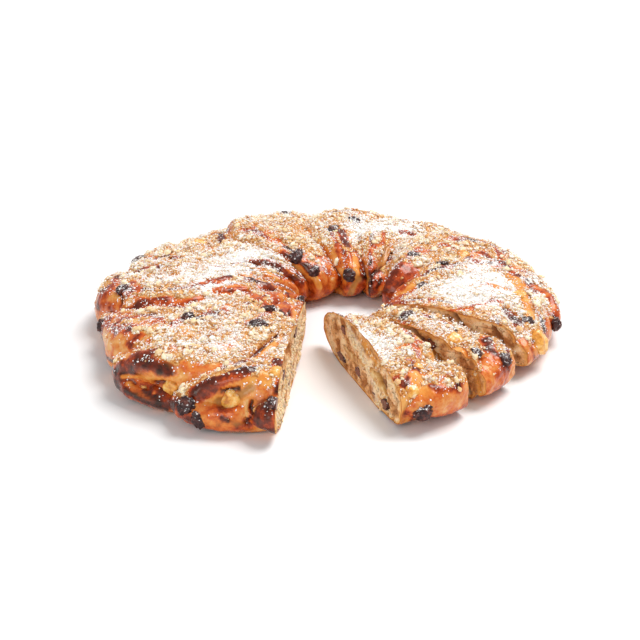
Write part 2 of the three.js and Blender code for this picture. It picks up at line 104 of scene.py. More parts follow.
# Crease angle, its depth share, the lift and reach of the strand after it, and where its crest lies across it
STRANDS = np.array([
    (-13, 0.7, 0.5, 1.5, 0.25),
    (8, 0.9, 1.0, 1.0, 0.0),
    (41, 1.7, 0.5, 0.5, 0.3),
    (61, 0.9, 1.5, 1.0, 0.25),
    (85, 1.0, 1.5, 0.5, 0.45),
    (119, 1.1, 0.5, 1.0, 0.25),
    (141, 1.2, 0.0, 1.0, 0.25),
    (163, 1.0, 1.0, 2.0, 0.25),
    (187, 1.1, 0.5, 1.0, 0.25),
    (213, 1.0, 1.0, 3.0, -0.45),
    (233, 1.1, 1.0, 2.0, -0.2),
    (251, 0.8, 0.5, 1.0, 0.25),
    (268, 0.8, 0.0, 0.0, 0.25),
    (285, 0.7, 0.0, 1.0, 0.25),
    (303, 0.7, 0.5, 1.0, 0.25),
    (322, 0.7, 0.0, 1.0, 0.25),
])

# Bulges and pockets: place along the strands, round the section, spreads, and lift
FOLDS = [
    (226, 4, 7, 5, -9.5),
    (224, 17, 8, 7, 4.5),
    (227, -9, 7, 7, 2),
    (244, 7, 5.5, 5, -8.5),
    (240, 18, 6, 7, 4),
    (246, -9, 6, 7, 2),
    (184, 15, 2.5, 8, -3),
    (205, 10, 7, 14, 2),
    (352, 6, 3.5, 9, 3),
    (143, 24, 4, 12, 4),
    (131, 45, 5, 30, -4),
    (133, 90, 7, 30, -2),
    (115, 42, 6, 16, 5),
    (92, 60, 6, 26, 2),
    (76, 60, 5, 26, 2),
    (46, 150, 4, 40, -5),
    (20, 158, 9, 18, 4),
    (286, 33, 9, 8, -5),
    (289, 9, 9, 11, 4),
    (300, 38, 6, 10, -3),
]

# The folds fade out by the sine of the place round the section, down to a flat underside
FADE_FROM, FADE_OVER = -0.75, 0.5

# No streak or seam fades out over less than this, in millimetres each way
NARROW_EDGE = 0.8

# None is raised or sunk over less than this
NARROW_RIDGE = 1.2

# It is measured out to this many of its widths, and its curve has this many steps from place to place
LINE_REACH = 3.0
LEG_STEPS = 5

# Slow unevenness of the whole surface
UNEVEN = 0.8
UNEVEN_TURNS = 11
UNEVEN_ROUND = 3
UNEVEN_DRIFT = 5
SLOPE_STEP = 0.001

# The knife cuts run out from a pivot in the hole; each piece lies between two of them
CUT_PIVOT = np.array([-11.28, 8.96, 0.0])
PIECES = {
    "ring": (330.6, 264.2 + 360.0),
    "end_slice": (290.3, 307.0),
    "middle_slice": (312.4, 324.4),
}
CUTS = (264.2, 290.3, 307.0, 312.4, 324.4, 330.6)

# Where a row meets a cut is looked for on a fan of angles: from, to and how many
FAN = (-80, 25, 700)

# The filling: a wavy band that runs through the middle of the dough
FILLING_SPREAD = 0.62
FILLING_THICK = 4.6
FILLING_HEIGHT = 16.5
FILLING_WAVE = 3.0
FILLING_ACROSS, FILLING_ROUND = 3, 4

# Facets of the fine surfaces: columns along each piece, and rows round its section
CRUST_COLUMNS = {"ring": 560, "end_slice": 90, "middle_slice": 90}
FILLING_COLUMNS = {"ring": 200, "end_slice": 30, "middle_slice": 30}
ROWS_SEEN = 138
ROWS_UNDER = 12
ROW_SPAN = (-38.0, 218.0)
RIM_ROWS = (0.5, 56.0)
ROW_FLATNESS = 0.45
FILLING_ROWS = 48

# The ring's facets are finer near the camera: this share of its columns covers that share of its length
COARSE_COLUMNS, COARSE_LENGTH = 0.63, 0.745

# Rings of an end face, from its rim to its middle
CRUMB_RINGS = 34
FILLING_RINGS = 6

SEED = 71

# The noise repeats after this many cells, and is shifted so that no place on the loaf is negative
LATTICE = 32
LATTICE_SHIFT = 1000.0

# Uneven patches: how far they swing, the size of one in millimetres, and a seed of their own
PATCHES = {
    "browning": (0.95, 9.0, 3),
    "mottle": (0.7, 4.5, 4),
    "streusel edge": (0.6, 14.0, 0),
    "crust swells": (2.4, 9.0, 12),
    "crust bubbles": (1.6, 3.6, 13),
    "crumb swells": (3.2, 8.0, 20),
    "swirl drift": (5.0, 20.0, 27),
    "filling lumps": (0.9, 4.0, 30),
    "streusel heaps": (2.4, 8.0, 50),
    "toast": (1.1, 6.0, 52),
}

# Browning away from the streaks: everywhere, then more or less on crests, at the hole, the rim and on flanks,
# and where the foot of the loaf is scorched
BROWN_ALL, BROWN_CREST, BROWN_HOLE, BROWN_RIM, BROWN_FLANK = 0.34, 0.38, 0.08, 0.14, -0.16
SCORCHED = 0.60

# How bare of streusel the flanks, the walls of the hole, the crests and small windows are
BARE_FLANK, BARE_HOLE, BARE_CREST, BARE_WINDOW = 0.75, 1.0, 0.85, 0.55

# Powdered sugar away from its heaps, and the glaze of the flanks
SUGAR_ALL = 0.45
GLAZE_FLANK = 0.7

# The crust's relief fades in from the floor over this height in millimetres
FLOOR_EASE = 1.5

# A cut face starts flush at its rim, and its crumb stands out fully this far in
RIND_EASE = 2.5

# A filling's ends: how far their lumps stand out and how far they sink, in millimetres
END_LUMPS, END_SUNK = 0.9, 0.1

# Lumps on the crust: how uneven and long, how deep they sit, how flat, and the heights that they keep between
LUMP_WOBBLE = 0.36
LUMP_STRETCH = (0.75, 1.3)
LUMP_SUNK = 0.25
LUMP_FLATNESS, SPECK_FLATNESS = 0.62, 0.7
LOWEST, HIGHEST = 0.05, cad_box[1][2] / MM + 1.0

# Room that lumps leave: to raisins and apple pieces as a share of these, to the cuts as a share of the lump
TOPPING_CLEAR = 0.33
CUT_CLEAR = 0.6

# Chance of a stray crumb or speck where none should lie
STRAY_CRUMBS, STRAY_SPECKS, STRAY_FILLING = 0.012, 0.010, 0.004

# Streusel by size: name, faces of a crumb, how many tries, least and greatest radius, and how patchy
STREUSEL = [
    ("streusel_lumps", 80, 1100, (1.1, 2.3), 1.8),
    ("streusel_crumbs", 20, 6500, (0.6, 1.3), 1.8),
    ("streusel_grains", 8, 9000, (0.3, 0.65), 1.5),
]
SUGAR_SPECKS = 24500
SUGAR_RADIUS = (0.28, 0.72)
FILLING_CRUMBS = 1500
FILLING_CRUMB_RADIUS = (0.5, 1.25)

# A crumb's tone before it is toasted and how far that differs, and its share of the sugar where it lies
CRUMB_TONE, TONE_SPREAD = 0.76, 0.7
CRUMB_SUGAR = (0.7, 1.6)

# How high specks of sugar lie over streusel, in millimetres
SPECK_LIFT = (0.2, 2.2)

# Tones of the filling's crumbs, and the sugar on them
FILLING_TONE = (0.45, 0.9)
FILLING_SUGAR = 0.1

# Raisins and apple pieces: their grids and the sugar on a raisin
RAISIN_GRID = (36, 20)
APPLE_GRID = (32, 20)
RAISIN_SUGAR = 0.5

# A sliced one has this many vertices within the first distance of its cut, and stands proud of it by the
# second, in millimetres
CUT_VERTICES = 5
CUT_TOUCH = 0.02
CUT_PROUD = 0.25

# How far light scatters under a surface in metres: deepest in red, so that thin edges look warm
SCATTER_REACH = (0.004, 0.002, 0.0008)

# The table: half its width in metres, its tone, and the distances over which the camera sees it fade to white
TABLE_REACH = 1.4
TABLE_TONE = (0.93, 0.93, 0.93)
TABLE_FADE = (0.45, 1.1)

# Lamps: name, place and size in metres, and power in watts; all of them face the loaf
LAMPS = [
    ("overhead soft box", (1.1, 0.8, 2.4), 1.6, 75.0),
    ("front fill", (-0.7, -1.7, 0.9), 1.2, 14.0),
]
LAMP_TARGET = (0.0, 0.0, 0.02)
WORLD_LIGHT = 0.45

# What each kind of streak does to the crust: the browning it sets, which for grooves is painted shade,
# bareness, glaze, sugar kept, lift in mm, and the share of its half width over which it fades
STREAK_KINDS = {
    "mahogany": (0.80, 1.2, 0.0, 0.5, 0.7, 0.6),
    "crest": (0.66, 1.1, 0.0, 0.6, 0.5, 0.6),
    "line": (0.56, 1.0, 0.0, 0.6, 0.3, 0.6),
    "rust": (0.44, 1.2, 0.0, 0.25, 0.4, 0.7),
    "roll": (0.60, 1.2, 0.0, 0.35, 0.7, 0.7),
    "coral": (0.24, 1.2, 0.0, 0.15, 0.4, 0.6),
    "gold": (0.14, 1.0, 0.8, 0.3, 0.3, 0.4),
    "pale": (0.08, 1.0, 0.0, 0.2, 0.1, 0.5),
    "tan": (0.34, 1.0, 0.0, 0.2, -1.0, 0.4),
    # Grooves: a dark level that paints shade into the sunken crease
    "groove": (0.88, 0.9, 0.0, 0.2, -3.0, 0.2),
    "burnt": (0.96, 1.0, 0.0, 0.2, 0.1, 0.3),
}

# Streaks of the crust, later ones over earlier: kind, half width in millimetres, and the places along it
# (along the strands, round the section)
STREAKS = [
    # The low lobe at the left end
    ("roll", 4.2, [(184, 6), (182, 10), (180, 15), (175, 18)]),
    ("rust", 4.2, [(188, 4), (184, 10), (186, 16)]),
    ("groove", 1.1, [(179, 20), (182, 20), (185, 18)]),
    ("rust", 2.4, [(172, 26), (178, 30)]),
    ("crest", 2.4, [(173, 16), (166, 18), (160, 30), (158, 42)]),
    ("mahogany", 2.6, [(152, 34), (149, 38), (150, 48)]),
    ("mahogany", 2.6, [(124, 30), (122, 38), (125, 54)]),
    ("burnt", 1.6, [(124, 33), (118, 34)]),
    # The lobe after it: brown crest, pale face, red streak
    ("crest", 2.6, [(200, 11), (197, 16), (196, 22), (195, 30)]),
    ("crest", 3.2, [(188, 20), (185, 28), (185, 42), (193, 56)]),
    ("pale", 4.2, [(199, 4), (206, 8), (212, 7)]),
    ("pale", 3.0, [(207, 12), (212, 12), (218, 10)]),
    ("rust", 1.7, [(204, 14), (206, 16), (208, 17)]),
    ("rust", 1.7, [(210, 14), (209, 18), (208, 20)]),
    ("crest", 1.6, [(207, 20), (209, 17), (211, 14)]),
    ("burnt", 1.2, [(206, 3), (208, 0), (216, 2), (218, 2)]),
    ("burnt", 1.5, [(196, 0), (199, -3), (205, -5)]),
    # The large front lobe with its mahogany roll and the pocket under it
    ("coral", 3.0, [(228, 16), (231, 14), (231, 22)]),
    ("mahogany", 4.6, [(221, 5), (221, 10), (224, 12), (228, 12)]),
    ("roll", 2.6, [(219, 3), (219, 8), (218, 12), (219, 17)]),
    ("mahogany", 3.4, [(222, -2), (221, 0), (220, 2)]),
    ("roll", 5.0, [(221, -3), (225, -4), (230, -5), (236, -4), (239, -2)]),
    ("mahogany", 3.2, [(228, 0), (230, -2), (232, -4), (236, 0)]),
    ("gold", 1.4, [(220, 2), (223, 6), (226, 8), (229, 10), (231, 13)]),
    ("gold", 1.3, [(222, 0), (226, 2), (230, 6)]),
    ("pale", 1.8, [(227, 2), (229, 2), (229, 0)]),
    ("tan", 2.2, [(230, 7), (231, 8), (232, 4)]),
    ("pale", 1.4, [(232, 8), (232, 10)]),
    ("groove", 1.5, [(227, 6), (229, 8), (231, 9)]),
    ("groove", 1.3, [(223, 1), (227, 1)]),
    ("burnt", 1.7, [(226, 0), (228, -1)]),
    ("roll", 2.6, [(224, 1), (229, 2), (233, 0)]),
    ("burnt", 1.3, [(222, -2), (225, -3), (228, -4), (230, -6)]),
    ("burnt", 1.2, [(230, -9), (236, -9), (241, -8)]),
    ("coral", 2.8, [(240, 4), (242, 2), (245, 0)]),
    ("rust", 3.0, [(241, -4), (246, -5), (250, -6)]),
    # The lobe by the cut
    ("mahogany", 3.2, [(238, 8), (238, 12), (240, 14), (240, 16), (241, 20)]),
    ("roll", 2.2, [(240, 6), (240, 12), (241, 14), (242, 16)]),
    ("crest", 2.4, [(232, 22), (232, 32), (236, 32)]),
    ("gold", 1.8, [(242, 6), (242, 11), (243, 13), (244, 17)]),
    ("gold", 3.2, [(244, 20), (246, 18)]),
    ("tan", 2.2, [(243, 8), (245, 10), (246, 14)]),
    ("groove", 1.4, [(242, 11), (244, 13)]),
    ("rust", 4.2, [(244, 1), (247, 2), (250, 4)]),
    ("roll", 2.2, [(245, 3), (248, 3)]),
    ("burnt", 1.4, [(247, 0), (248, -1)]),
    ("pale", 1.4, [(248, 10), (250, 7), (252, 0)]),
    ("mahogany", 5.0, [(253, 8), (255, 3), (257, -1), (258, -4)]),
    ("roll", 2.4, [(257, 6), (259, 1), (260, -3)]),
    ("groove", 1.0, [(249, 10), (252, 4), (252, 0), (250, -6)]),
    ("coral", 2.4, [(248, 14), (252, 13)]),
    ("mahogany", 2.6, [(250, 16), (246, 24), (240, 32)]),
    ("burnt", 1.4, [(256, -4), (253, -7)]),
    ("gold", 2.4, [(232, 46), (232, 54), (232, 66)]),
    ("groove", 1.0, [(231, 36), (230, 53), (230, 104)]),
    # The long ridges of the left arm that run into the hole
    ("rust", 1.8, [(177, 86), (173, 120), (168, 140)]),
    ("crest", 2.0, [(168, 140), (180, 149), (185, 158)]),
    ("rust", 1.8, [(186, 48), (185, 78)]),
    ("rust", 3.0, [(183, 106), (184, 125), (185, 136), (203, 142), (212, 142)]),
    ("crest", 1.8, [(184, 115), (185, 136), (200, 141)]),
    ("roll", 2.0, [(150, 128), (140, 135), (138, 144)]),
    ("burnt", 1.6, [(148, 38), (143, 38)]),
    # The strands that roll over into the hole, from the left arm to the right
    ("rust", 4.0, [(186, 151), (208, 154), (217, 152), (224, 146), (227, 142)]),
    ("rust", 3.2, [(176, 112), (170, 130), (163, 142), (172, 147), (182, 153)]),
    ("mahogany", 2.2, [(174, 116), (169, 132), (163, 142), (180, 150), (184, 155), (186, 160), (208, 162)]),
    ("roll", 1.8, [(211, 140), (219, 132)]),
    ("burnt", 1.4, [(222, 142), (227, 137)]),
    ("groove", 1.0, [(226, 150), (229, 142)]),
    ("rust", 4.6, [(142, 172), (133, 180), (114, 187)]),
    ("gold", 2.6, [(146, 146), (156, 156)]),
    ("coral", 4.4, [(160, 166), (152, 171), (146, 176)]),
    ("rust", 4.4, [(196, 166), (214, 168), (229, 168)]),
    ("mahogany", 2.2, [(138, 146), (138, 155), (139, 161), (138, 168), (136, 172)]),
    ("groove", 1.0, [(140, 142), (154, 152)]),
    ("rust", 2.4, [(222, 167), (230, 164), (237, 140)]),
    ("rust", 4.6, [(128, 178), (116, 178), (106, 182), (96, 184)]),
    ("coral", 2.4, [(104, 170), (102, 176)]),
    ("rust", 4.2, [(88, 180), (78, 184)]),
    ("gold", 2.0, [(117, 162), (116, 167), (114, 171), (112, 175), (110, 178)]),
    ("mahogany", 2.2, [(116, 144), (116, 156), (114, 162), (114, 166)]),
    ("burnt", 1.0, [(116, 148), (115, 160)]),
    ("mahogany", 3.0, [(70, 116), (70, 136), (70, 148)]),
    ("rust", 2.2, [(71, 157), (71, 162), (72, 166)]),
    ("rust", 2.0, [(76, 148), (79, 157), (82, 164)]),
    ("gold", 2.4, [(67, 156), (66, 164), (68, 170), (70, 176)]),
    ("rust", 2.2, [(72, 176), (76, 184), (78, 190)]),
    ("tan", 2.0, [(66, 174), (71, 180), (74, 186)]),
    ("rust", 3.8, [(64, 182), (59, 190)]),
    ("tan", 2.4, [(45, 121), (45, 129), (45, 143), (46, 154)]),
    ("rust", 1.3, [(50, 94), (48, 120), (50, 134), (53, 148)]),
    ("groove", 1.1, [(42, 124), (42, 137), (43, 147), (46, 156), (49, 164), (52, 172)]),
    ("groove", 0.9, [(56, 172), (51, 175)]),
    ("rust", 6.5, [(12, 158), (13, 168), (6, 169), (18, 176), (23, 181)]),
    ("roll", 5.4, [(14, 160), (12, 168), (17, 175)]),
    ("mahogany", 2.6, [(20, 158), (20, 166), (22, 174)]),
    ("rust", 4.6, [(350, 160), (336, 167), (318, 160), (306, 152)]),
    ("gold", 2.0, [(355, 158), (351, 164)]),
    ("burnt", 1.0, [(46, 168), (48, 178)]),
    # The right arm
    ("roll", 2.2, [(45, 68), (43, 50)]),
    ("rust", 2.0, [(20, 156), (15, 154)]),
    ("roll", 2.2, [(20, 76), (16, 76)]),
    ("crest", 2.2, [(10, 64), (-1, 64)]),
    ("crest", 2.2, [(13, 38), (4, 36)]),
    ("line", 2.0, [(21, 22), (10, 28), (1, 35)]),
    ("gold", 1.8, [(352, 38), (353, 30), (350, 28), (350, 24)]),
    ("crest", 2.4, [(356, 32), (354, 24), (351, 22), (350, 20)]),
    ("burnt", 1.0, [(344, 26), (341, 23)]),
    ("tan", 2.0, [(338, 23), (337, 20), (336, 17)]),
    ("roll", 2.0, [(354, 15), (353, 12), (351, 11)]),
    ("rust", 2.4, [(353, 20), (352, 13), (350, 6)]),
    ("gold", 2.0, [(338, 62), (338, 50), (338, 40)]),
    ("coral", 1.6, [(336, 80), (338, 66), (336, 52)]),
    ("gold", 2.8, [(349, 36), (347, 31), (340, 28), (336, 24), (333, 18)]),
    ("mahogany", 3.4, [(324, 33), (325, 27), (325, 21)]),
    ("coral", 3.2, [(325, 12), (327, 6), (326, 3)]),
    ("gold", 3.4, [(334, 8), (333, 4), (331, 2)]),
    ("coral", 3.0, [(340, 8), (346, 6), (345, 0)]),
    ("rust", 1.8, [(306, 92), (312, 64), (326, 53), (328, 38)]),
    # The middle slice
    ("mahogany", 3.4, [(306, 26), (307, 20), (309, 16), (311, 12), (312, 9)]),
    ("coral", 4.4, [(306, 16), (307, 10), (308, 6), (309, 2), (308, -4)]),
    ("rust", 3.0, [(310, 12), (310, 8), (312, 4), (313, 0)]),
    ("gold", 1.6, [(301, 16), (300, 14)]),
    ("groove", 1.2, [(296, 26), (299, 17), (302, 12)]),
    ("gold", 2.0, [(294, 32), (296, 24), (300, 14)]),
    ("rust", 1.8, [(272, 50), (275, 52), (279, 54), (283, 54)]),
    # The end slice
    ("rust", 1.7, [(257, 128), (259, 106), (261, 76), (263, 56), (265, 42)]),
    ("mahogany", 2.2, [(276, 34), (279, 28), (280, 22), (280, 15)]),
    ("rust", 1.4, [(275, 20), (276, 22)]),
    ("gold", 4.2, [(281, 20), (283, 16), (285, 13), (288, 9)]),
    ("coral", 4.4, [(288, 4), (291, 4), (295, 4)]),
    ("coral", 4.0, [(290, -1), (293, 0), (295, -2)]),
    ("crest", 1.8, [(288, 12), (290, 10), (294, 8)]),
    ("coral", 4.6, [(290, 3), (294, 3), (298, 2), (303, 2), (306, 3)]),
    ("rust", 2.0, [(292, -5), (296, -5), (301, -5)]),
    ("roll", 1.6, [(284, -8), (288, -5), (289, -5)]),
    ("burnt", 1.1, [(288, -8), (292, -9), (296, -9)]),
]

# Heaps of powdered sugar: along the strands, round the section, spreads, and amount
HEAPS = [
    (332, 82, 15, 44, 1.5),
    (350, 72, 7, 34, 0.65),
    (338, 110, 8, 26, 0.6),
    (353, 18, 5, 8, 0.6),
    (5, 60, 8, 24, 0.2),
    (185, 100, 20, 24, 0.3),
    (160, 60, 14, 40, 0.25),
    (261, 74, 9, 34, 1.05),
    (296, 80, 9, 30, 0.25),
    (60, 80, 9, 40, 0.7),
    (45, 60, 8, 30, 0.4),
    (140, 120, 16, 30, 0.6),
    (150, 140, 12, 16, 0.35),
    (170, 110, 14, 30, 0.35),
    (236, 60, 8, 24, 0.15),
    (222, 34, 8, 10, 0.25),
    (212, 50, 12, 20, 0.2),
]

# Places with few crumbs, where the crust shows between them
SPARSE = [
    (5, 45, 14, 22, 0.35),
    (200, 30, 10, 14, 0.3),
    (184, 18, 9, 10, 0.8),
    (196, 11, 6, 7, 1.0),
    (230, 152, 10, 14, 0.7),
]

# What each kind of seam does to a cut face: depth in millimetres, darkening (cinnamon, and in grooves and
# folds painted shade), pale crumbs and amber
SEAM_KINDS = {
    "groove": (5.0, 1.0, 0.0, 0.0),
    "fold": (3.2, 0.9, 0.0, 0.0),
    "pale": (-0.7, 0.0, 1.0, 0.0),
    "amber": (1.0, 0.2, 0.0, 1.0),
}

# Seams on each cut: kind, width in millimetres, and places as shares of its length out and of the crown's
# height
CUT_SEAMS = {
    264.2: [
        ("pale", 4.6, [(0.12, 0.45), (0.4, 0.58), (0.7, 0.5), (0.92, 0.35)]),
        ("pale", 3.0, [(0.2, 0.2), (0.5, 0.2), (0.88, 0.12)]),
        ("fold", 1.2, [(0.3, 0.9), (0.42, 0.4), (0.55, 0.1)]),
        ("fold", 1.2, [(0.6, 0.95), (0.72, 0.5), (0.76, 0.1)]),
        ("amber", 2.5, [(0.82, 0.85), (0.9, 0.6)]),
    ],
    290.3: [
        ("fold", 0.9, [(0.12, 0.80), (0.18, 0.50), (0.22, 0.31)]),
        ("groove", 1.4, [(0.22, 0.31), (0.23, 0.20), (0.26, 0.14), (0.29, 0.11)]),
        ("amber", 2.4, [(0.50, 0.88), (0.60, 0.84), (0.67, 0.78), (0.71, 0.74)]),
        ("pale", 2.8, [
            (0.36, 0.86), (0.46, 0.77), (0.55, 0.69), (0.60, 0.57), (0.64, 0.43), (0.68, 0.37), (0.72, 0.1),
        ]),
        ("fold", 2.2, [(0.70, 0.62), (0.74, 0.57), (0.78, 0.54)]),
        ("amber", 1.6, [(0.72, 0.48), (0.77, 0.40), (0.80, 0.22)]),
        ("groove", 1.2, [(0.95, 0.55), (0.91, 0.29), (0.885, 0.03)]),
        ("fold", 0.9, [(0.80, 0.90), (0.79, 0.70), (0.83, 0.30), (0.84, 0.06)]),
    ],
    307.0: [
        ("pale", 2.2, [(0.12, 0.45), (0.35, 0.6), (0.6, 0.5), (0.85, 0.38)]),
        ("fold", 1.3, [(0.28, 0.92), (0.34, 0.5), (0.3, 0.1)]),
        ("groove", 1.2, [(0.56, 0.98), (0.64, 0.6), (0.62, 0.2)]),
        ("amber", 2.4, [(0.75, 0.8), (0.84, 0.55), (0.86, 0.3)]),
    ],
    312.4: [
        ("groove", 1.5, [(0.36, 0.93), (0.46, 0.80), (0.56, 0.66), (0.64, 0.50)]),
        ("fold", 1.0, [(0.30, 0.45), (0.48, 0.38), (0.62, 0.22), (0.66, 0.06)]),
        ("amber", 3.6, [(0.52, 0.60), (0.60, 0.50), (0.68, 0.46), (0.74, 0.44)]),
        ("amber", 2.0, [(0.91, 0.55), (0.945, 0.34), (0.96, 0.20)]),
        ("groove", 1.0, [(0.80, 0.40), (0.86, 0.24), (0.88, 0.06)]),
    ],
    324.4: [
        ("pale", 2.2, [(0.14, 0.5), (0.4, 0.55), (0.66, 0.48), (0.86, 0.36)]),
        ("fold", 1.3, [(0.42, 0.96), (0.5, 0.6), (0.46, 0.1)]),
        ("amber", 2.4, [(0.7, 0.85), (0.8, 0.6)]),
    ],
    330.6: [
        ("fold", 1.2, [(0.2, 0.7), (0.36, 0.5), (0.42, 0.1)]),
        ("groove", 1.3, [(0.5, 0.98), (0.58, 0.7), (0.6, 0.3)]),
        ("pale", 2.2, [(0.14, 0.4), (0.4, 0.55), (0.66, 0.52), (0.82, 0.4)]),
        ("fold", 1.2, [(0.78, 0.8), (0.84, 0.5), (0.83, 0.1)]),
    ],
}


# The loaf's surface


def wrap(angle):
    """Degrees brought to the range from -180 to 180."""
    return (angle + 180.0) % 360.0 - 180.0


def hump(distance, spread):
    """A bell: e to the power of minus the square of distance over spread."""
    return np.exp(-((distance / spread) ** 2))


def smooth(low, high, value):
    """0 below low, 1 above high, and an S-curve between."""
    t = np.clip((value - low) / (high - low), 0.0, 1.0)
    return t * t * (3.0 - 2.0 * t)


def soft_noise(points, cell, seed):
    """Value noise from 0 to 1: random numbers on a cubic lattice, blended by an S-curve in each cell."""
    table = np.random.default_rng(seed).random((LATTICE, LATTICE, LATTICE))
    scaled = points / cell + LATTICE_SHIFT
    low = np.floor(scaled).astype(int)
    t = smooth(0.0, 1.0, scaled - low)
    low %= LATTICE
    high = (low + 1) % LATTICE
    x0, y0, z0 = low[..., 0], low[..., 1], low[..., 2]
    x1, y1, z1 = high[..., 0], high[..., 1], high[..., 2]
    tx, ty, tz = t[..., 0], t[..., 1], t[..., 2]
    near = (table[x0, y0, z0] * (1 - tx) + table[x1, y0, z0] * tx) * (1 - ty)
    near += (table[x0, y1, z0] * (1 - tx) + table[x1, y1, z0] * tx) * ty
    far = (table[x0, y0, z1] * (1 - tx) + table[x1, y0, z1] * tx) * (1 - ty)
    far += (table[x0, y1, z1] * (1 - tx) + table[x1, y1, z1] * tx) * ty
    return near * (1 - tz) + far * tz


def rich_noise(points, cell, seed):
    """Three octaves of soft noise, each half the size and half the strength of the one before."""
    coarse = 4 * soft_noise(points, cell, seed)
    middle = 2 * soft_noise(points, cell / 2, seed + 1)
    return (coarse + middle + soft_noise(points, cell / 4, seed + 2)) / 7


def patches(points, name):
    """Uneven patches by name: rich noise less a half, times how far they swing."""
    amount, cell, own_seed = PATCHES[name]
    return amount * (rich_noise(points, cell, SEED + own_seed) - 0.5)


def bells(places, angle, around):
    """The sum of bells at places: each is an angle, a place round the section, two spreads and an amount."""
    height = np.zeros(np.broadcast(angle, around).shape)
    for at, place, wide, tall, amount in places:
        height += amount * hump(wrap(angle - at), wide) * hump(wrap(around - place), tall)
    return height


def loaf_size(angle):
    """Middle radius, half width and crown height of the ring at an angle round its centre."""
    hole = HOLE_RADIUS + HOLE_SHIFT * np.cos(np.radians(angle - HOLE_SHIFT_AT))
    hole += HOLE_FRONT * hump(wrap(angle - HOLE_FRONT_AT), HOLE_FRONT_SPREAD)
    rim = RIM_RADIUS + RIM_SHIFT * np.cos(np.radians(angle - RIM_SHIFT_AT))
    for at, spread, amount in RIM_BUMPS:
        rim = rim + amount * hump(wrap(angle - at), spread)
    crown = CROWN_HEIGHT + CROWN_SWELL * np.cos(np.radians(angle - CROWN_SWELL_AT))
    return (rim + hole) / 2, (rim - hole) / 2, crown


def section_radius(turn, half, crown):
    """Distance from the core to a superellipse, taller above the waist than below."""
    above = np.sin(turn) > 0
    tall = np.where(above, crown - WAIST_HEIGHT, UNDER_DEPTH)
    power = np.where(above, DOME_POWER, UNDER_POWER)
    return (np.abs(np.cos(turn) / half) ** power + np.abs(np.sin(turn) / tall) ** power) ** (-1 / power)


def strand_under(angle):
    """Index of the strand under each angle, and the place across it, from -1 to 1."""
    creases = STRANDS[:, 0]
    turned = (angle - creases[0]) % 360.0 + creases[0]
    index = np.searchsorted(creases, turned, side="right") - 1
    ends = np.append(creases[1:], creases[0] + 360.0)
    share = (turned - creases[index]) / (ends[index] - creases[index])
    return index, 2 * share - 1


def strand_back(across, crest):
    """Height of a strand's rounded back: 0 in its creases and 1 on its leaning crest."""
    run = np.where(across > crest, 1 - crest, 1 + crest)
    return np.maximum(1 - np.abs((across - crest) / run) ** CREST_POWER, 0) ** CREST_ROUND


def polar(radius, theta, up):
    """Points from a radius and an angle round the ring's centre, and a height."""
    return np.stack(np.broadcast_arrays(
        CENTRE[0] + radius * np.cos(np.radians(theta)),
        CENTRE[1] + radius * np.sin(np.radians(theta)),
        up,
    ), axis=-1)


def loaf_points(angle, around):
    """The loaf's surface: a superellipse section swept round the ring, its strands raised and creased.

    angle follows the strands and around goes round the section from the rim, both in degrees.
    """
    # Each strand bows forward between the rim and the hole
    turn = np.radians(around)
    half, crown = loaf_size(angle)[1:]
    side = np.clip(np.cos(turn) * section_radius(turn, half, crown) / half, -1, 1)
    theta = angle + STRAND_BOW * (1 - np.abs(side) ** BOW_POWER)
    # The smooth section and its slope
    middle, half, crown = loaf_size(theta)
    reach = section_radius(turn, half, crown)
    ahead = section_radius(turn + SLOPE_STEP, half, crown)
    x, z = reach * np.cos(turn), reach * np.sin(turn)
    along_x = ahead * np.cos(turn + SLOPE_STEP) - x
    along_z = ahead * np.sin(turn + SLOPE_STEP) - z
    length = np.hypot(along_x, along_z)
    # How far the surface moves off it, outwards
    index, across = strand_under(angle)
    back = strand_back(across, STRANDS[index, 4])
    following = (index + 1) % len(STRANDS)
    share = (across + 1) / 2
    depth = STRANDS[index, 1] * (1 - share) + STRANDS[following, 1] * share
    edge = np.where(side > 0, CREASE_RIM, CREASE_HOLE)
    depth = depth * (CREASE_CROWN + (edge - CREASE_CROWN) * np.abs(side) ** CREASE_EASE)
    lift = STRANDS[index, 2] + STRANDS[index, 3] * np.maximum(side, 0) ** ROLL_POWER
    move = lift * back - depth * (1 - back) + bells(FOLDS, angle, around)
    drift = UNEVEN_ROUND * turn + UNEVEN_DRIFT * np.radians(angle)
    move = move + UNEVEN * np.sin(UNEVEN_TURNS * np.radians(angle)) * np.sin(drift)
    move = move * np.clip((np.sin(turn) - FADE_FROM) / FADE_OVER, 0, 1)
    radius = middle + x + along_z / length * move
    up = np.maximum(z - along_x / length * move + WAIST_HEIGHT, 0)
    return polar(radius, theta, up), side, index, across


def cut_frame(cut):
    """Direction out along a cut and the direction across it, in plan."""
    c, s = np.cos(np.radians(cut)), np.sin(np.radians(cut))
    return np.array([c, s, 0.0]), np.array([-s, c, 0.0])


def off_cut(points, cut):
    """Signed distance of points from a cut's plane, positive on the anticlockwise side."""
    return (points - CUT_PIVOT) @ cut_frame(cut)[1]


def along_cut(points, cut):
    """Distance of points out along a cut from its pivot."""
    return (points - CUT_PIVOT) @ cut_frame(cut)[0]


def cut_angles(surface, cut, rows):
    """The angle at which each row of a surface meets a cut, found on a fine fan of angles.

    surface gives points from an angle and a row's place.
    """
    fan = np.linspace(cut + FAN[0], cut + FAN[1], FAN[2])
    points = surface(fan[:, None], rows[None, :])
    distance = off_cut(points, cut)
    behind = (distance < 0) & (along_cut(points, cut) > 0)
    last = len(fan) - 1 - np.argmax(behind[::-1], axis=0)
    last = np.minimum(last, len(fan) - 2)
    columns = np.arange(len(rows))
    d0, d1 = distance[last, columns], distance[last + 1, columns]
    share = np.clip(d0 / (d0 - d1 + 1e-9), 0, 1)
    return fan[last] + share * (fan[1] - fan[0])


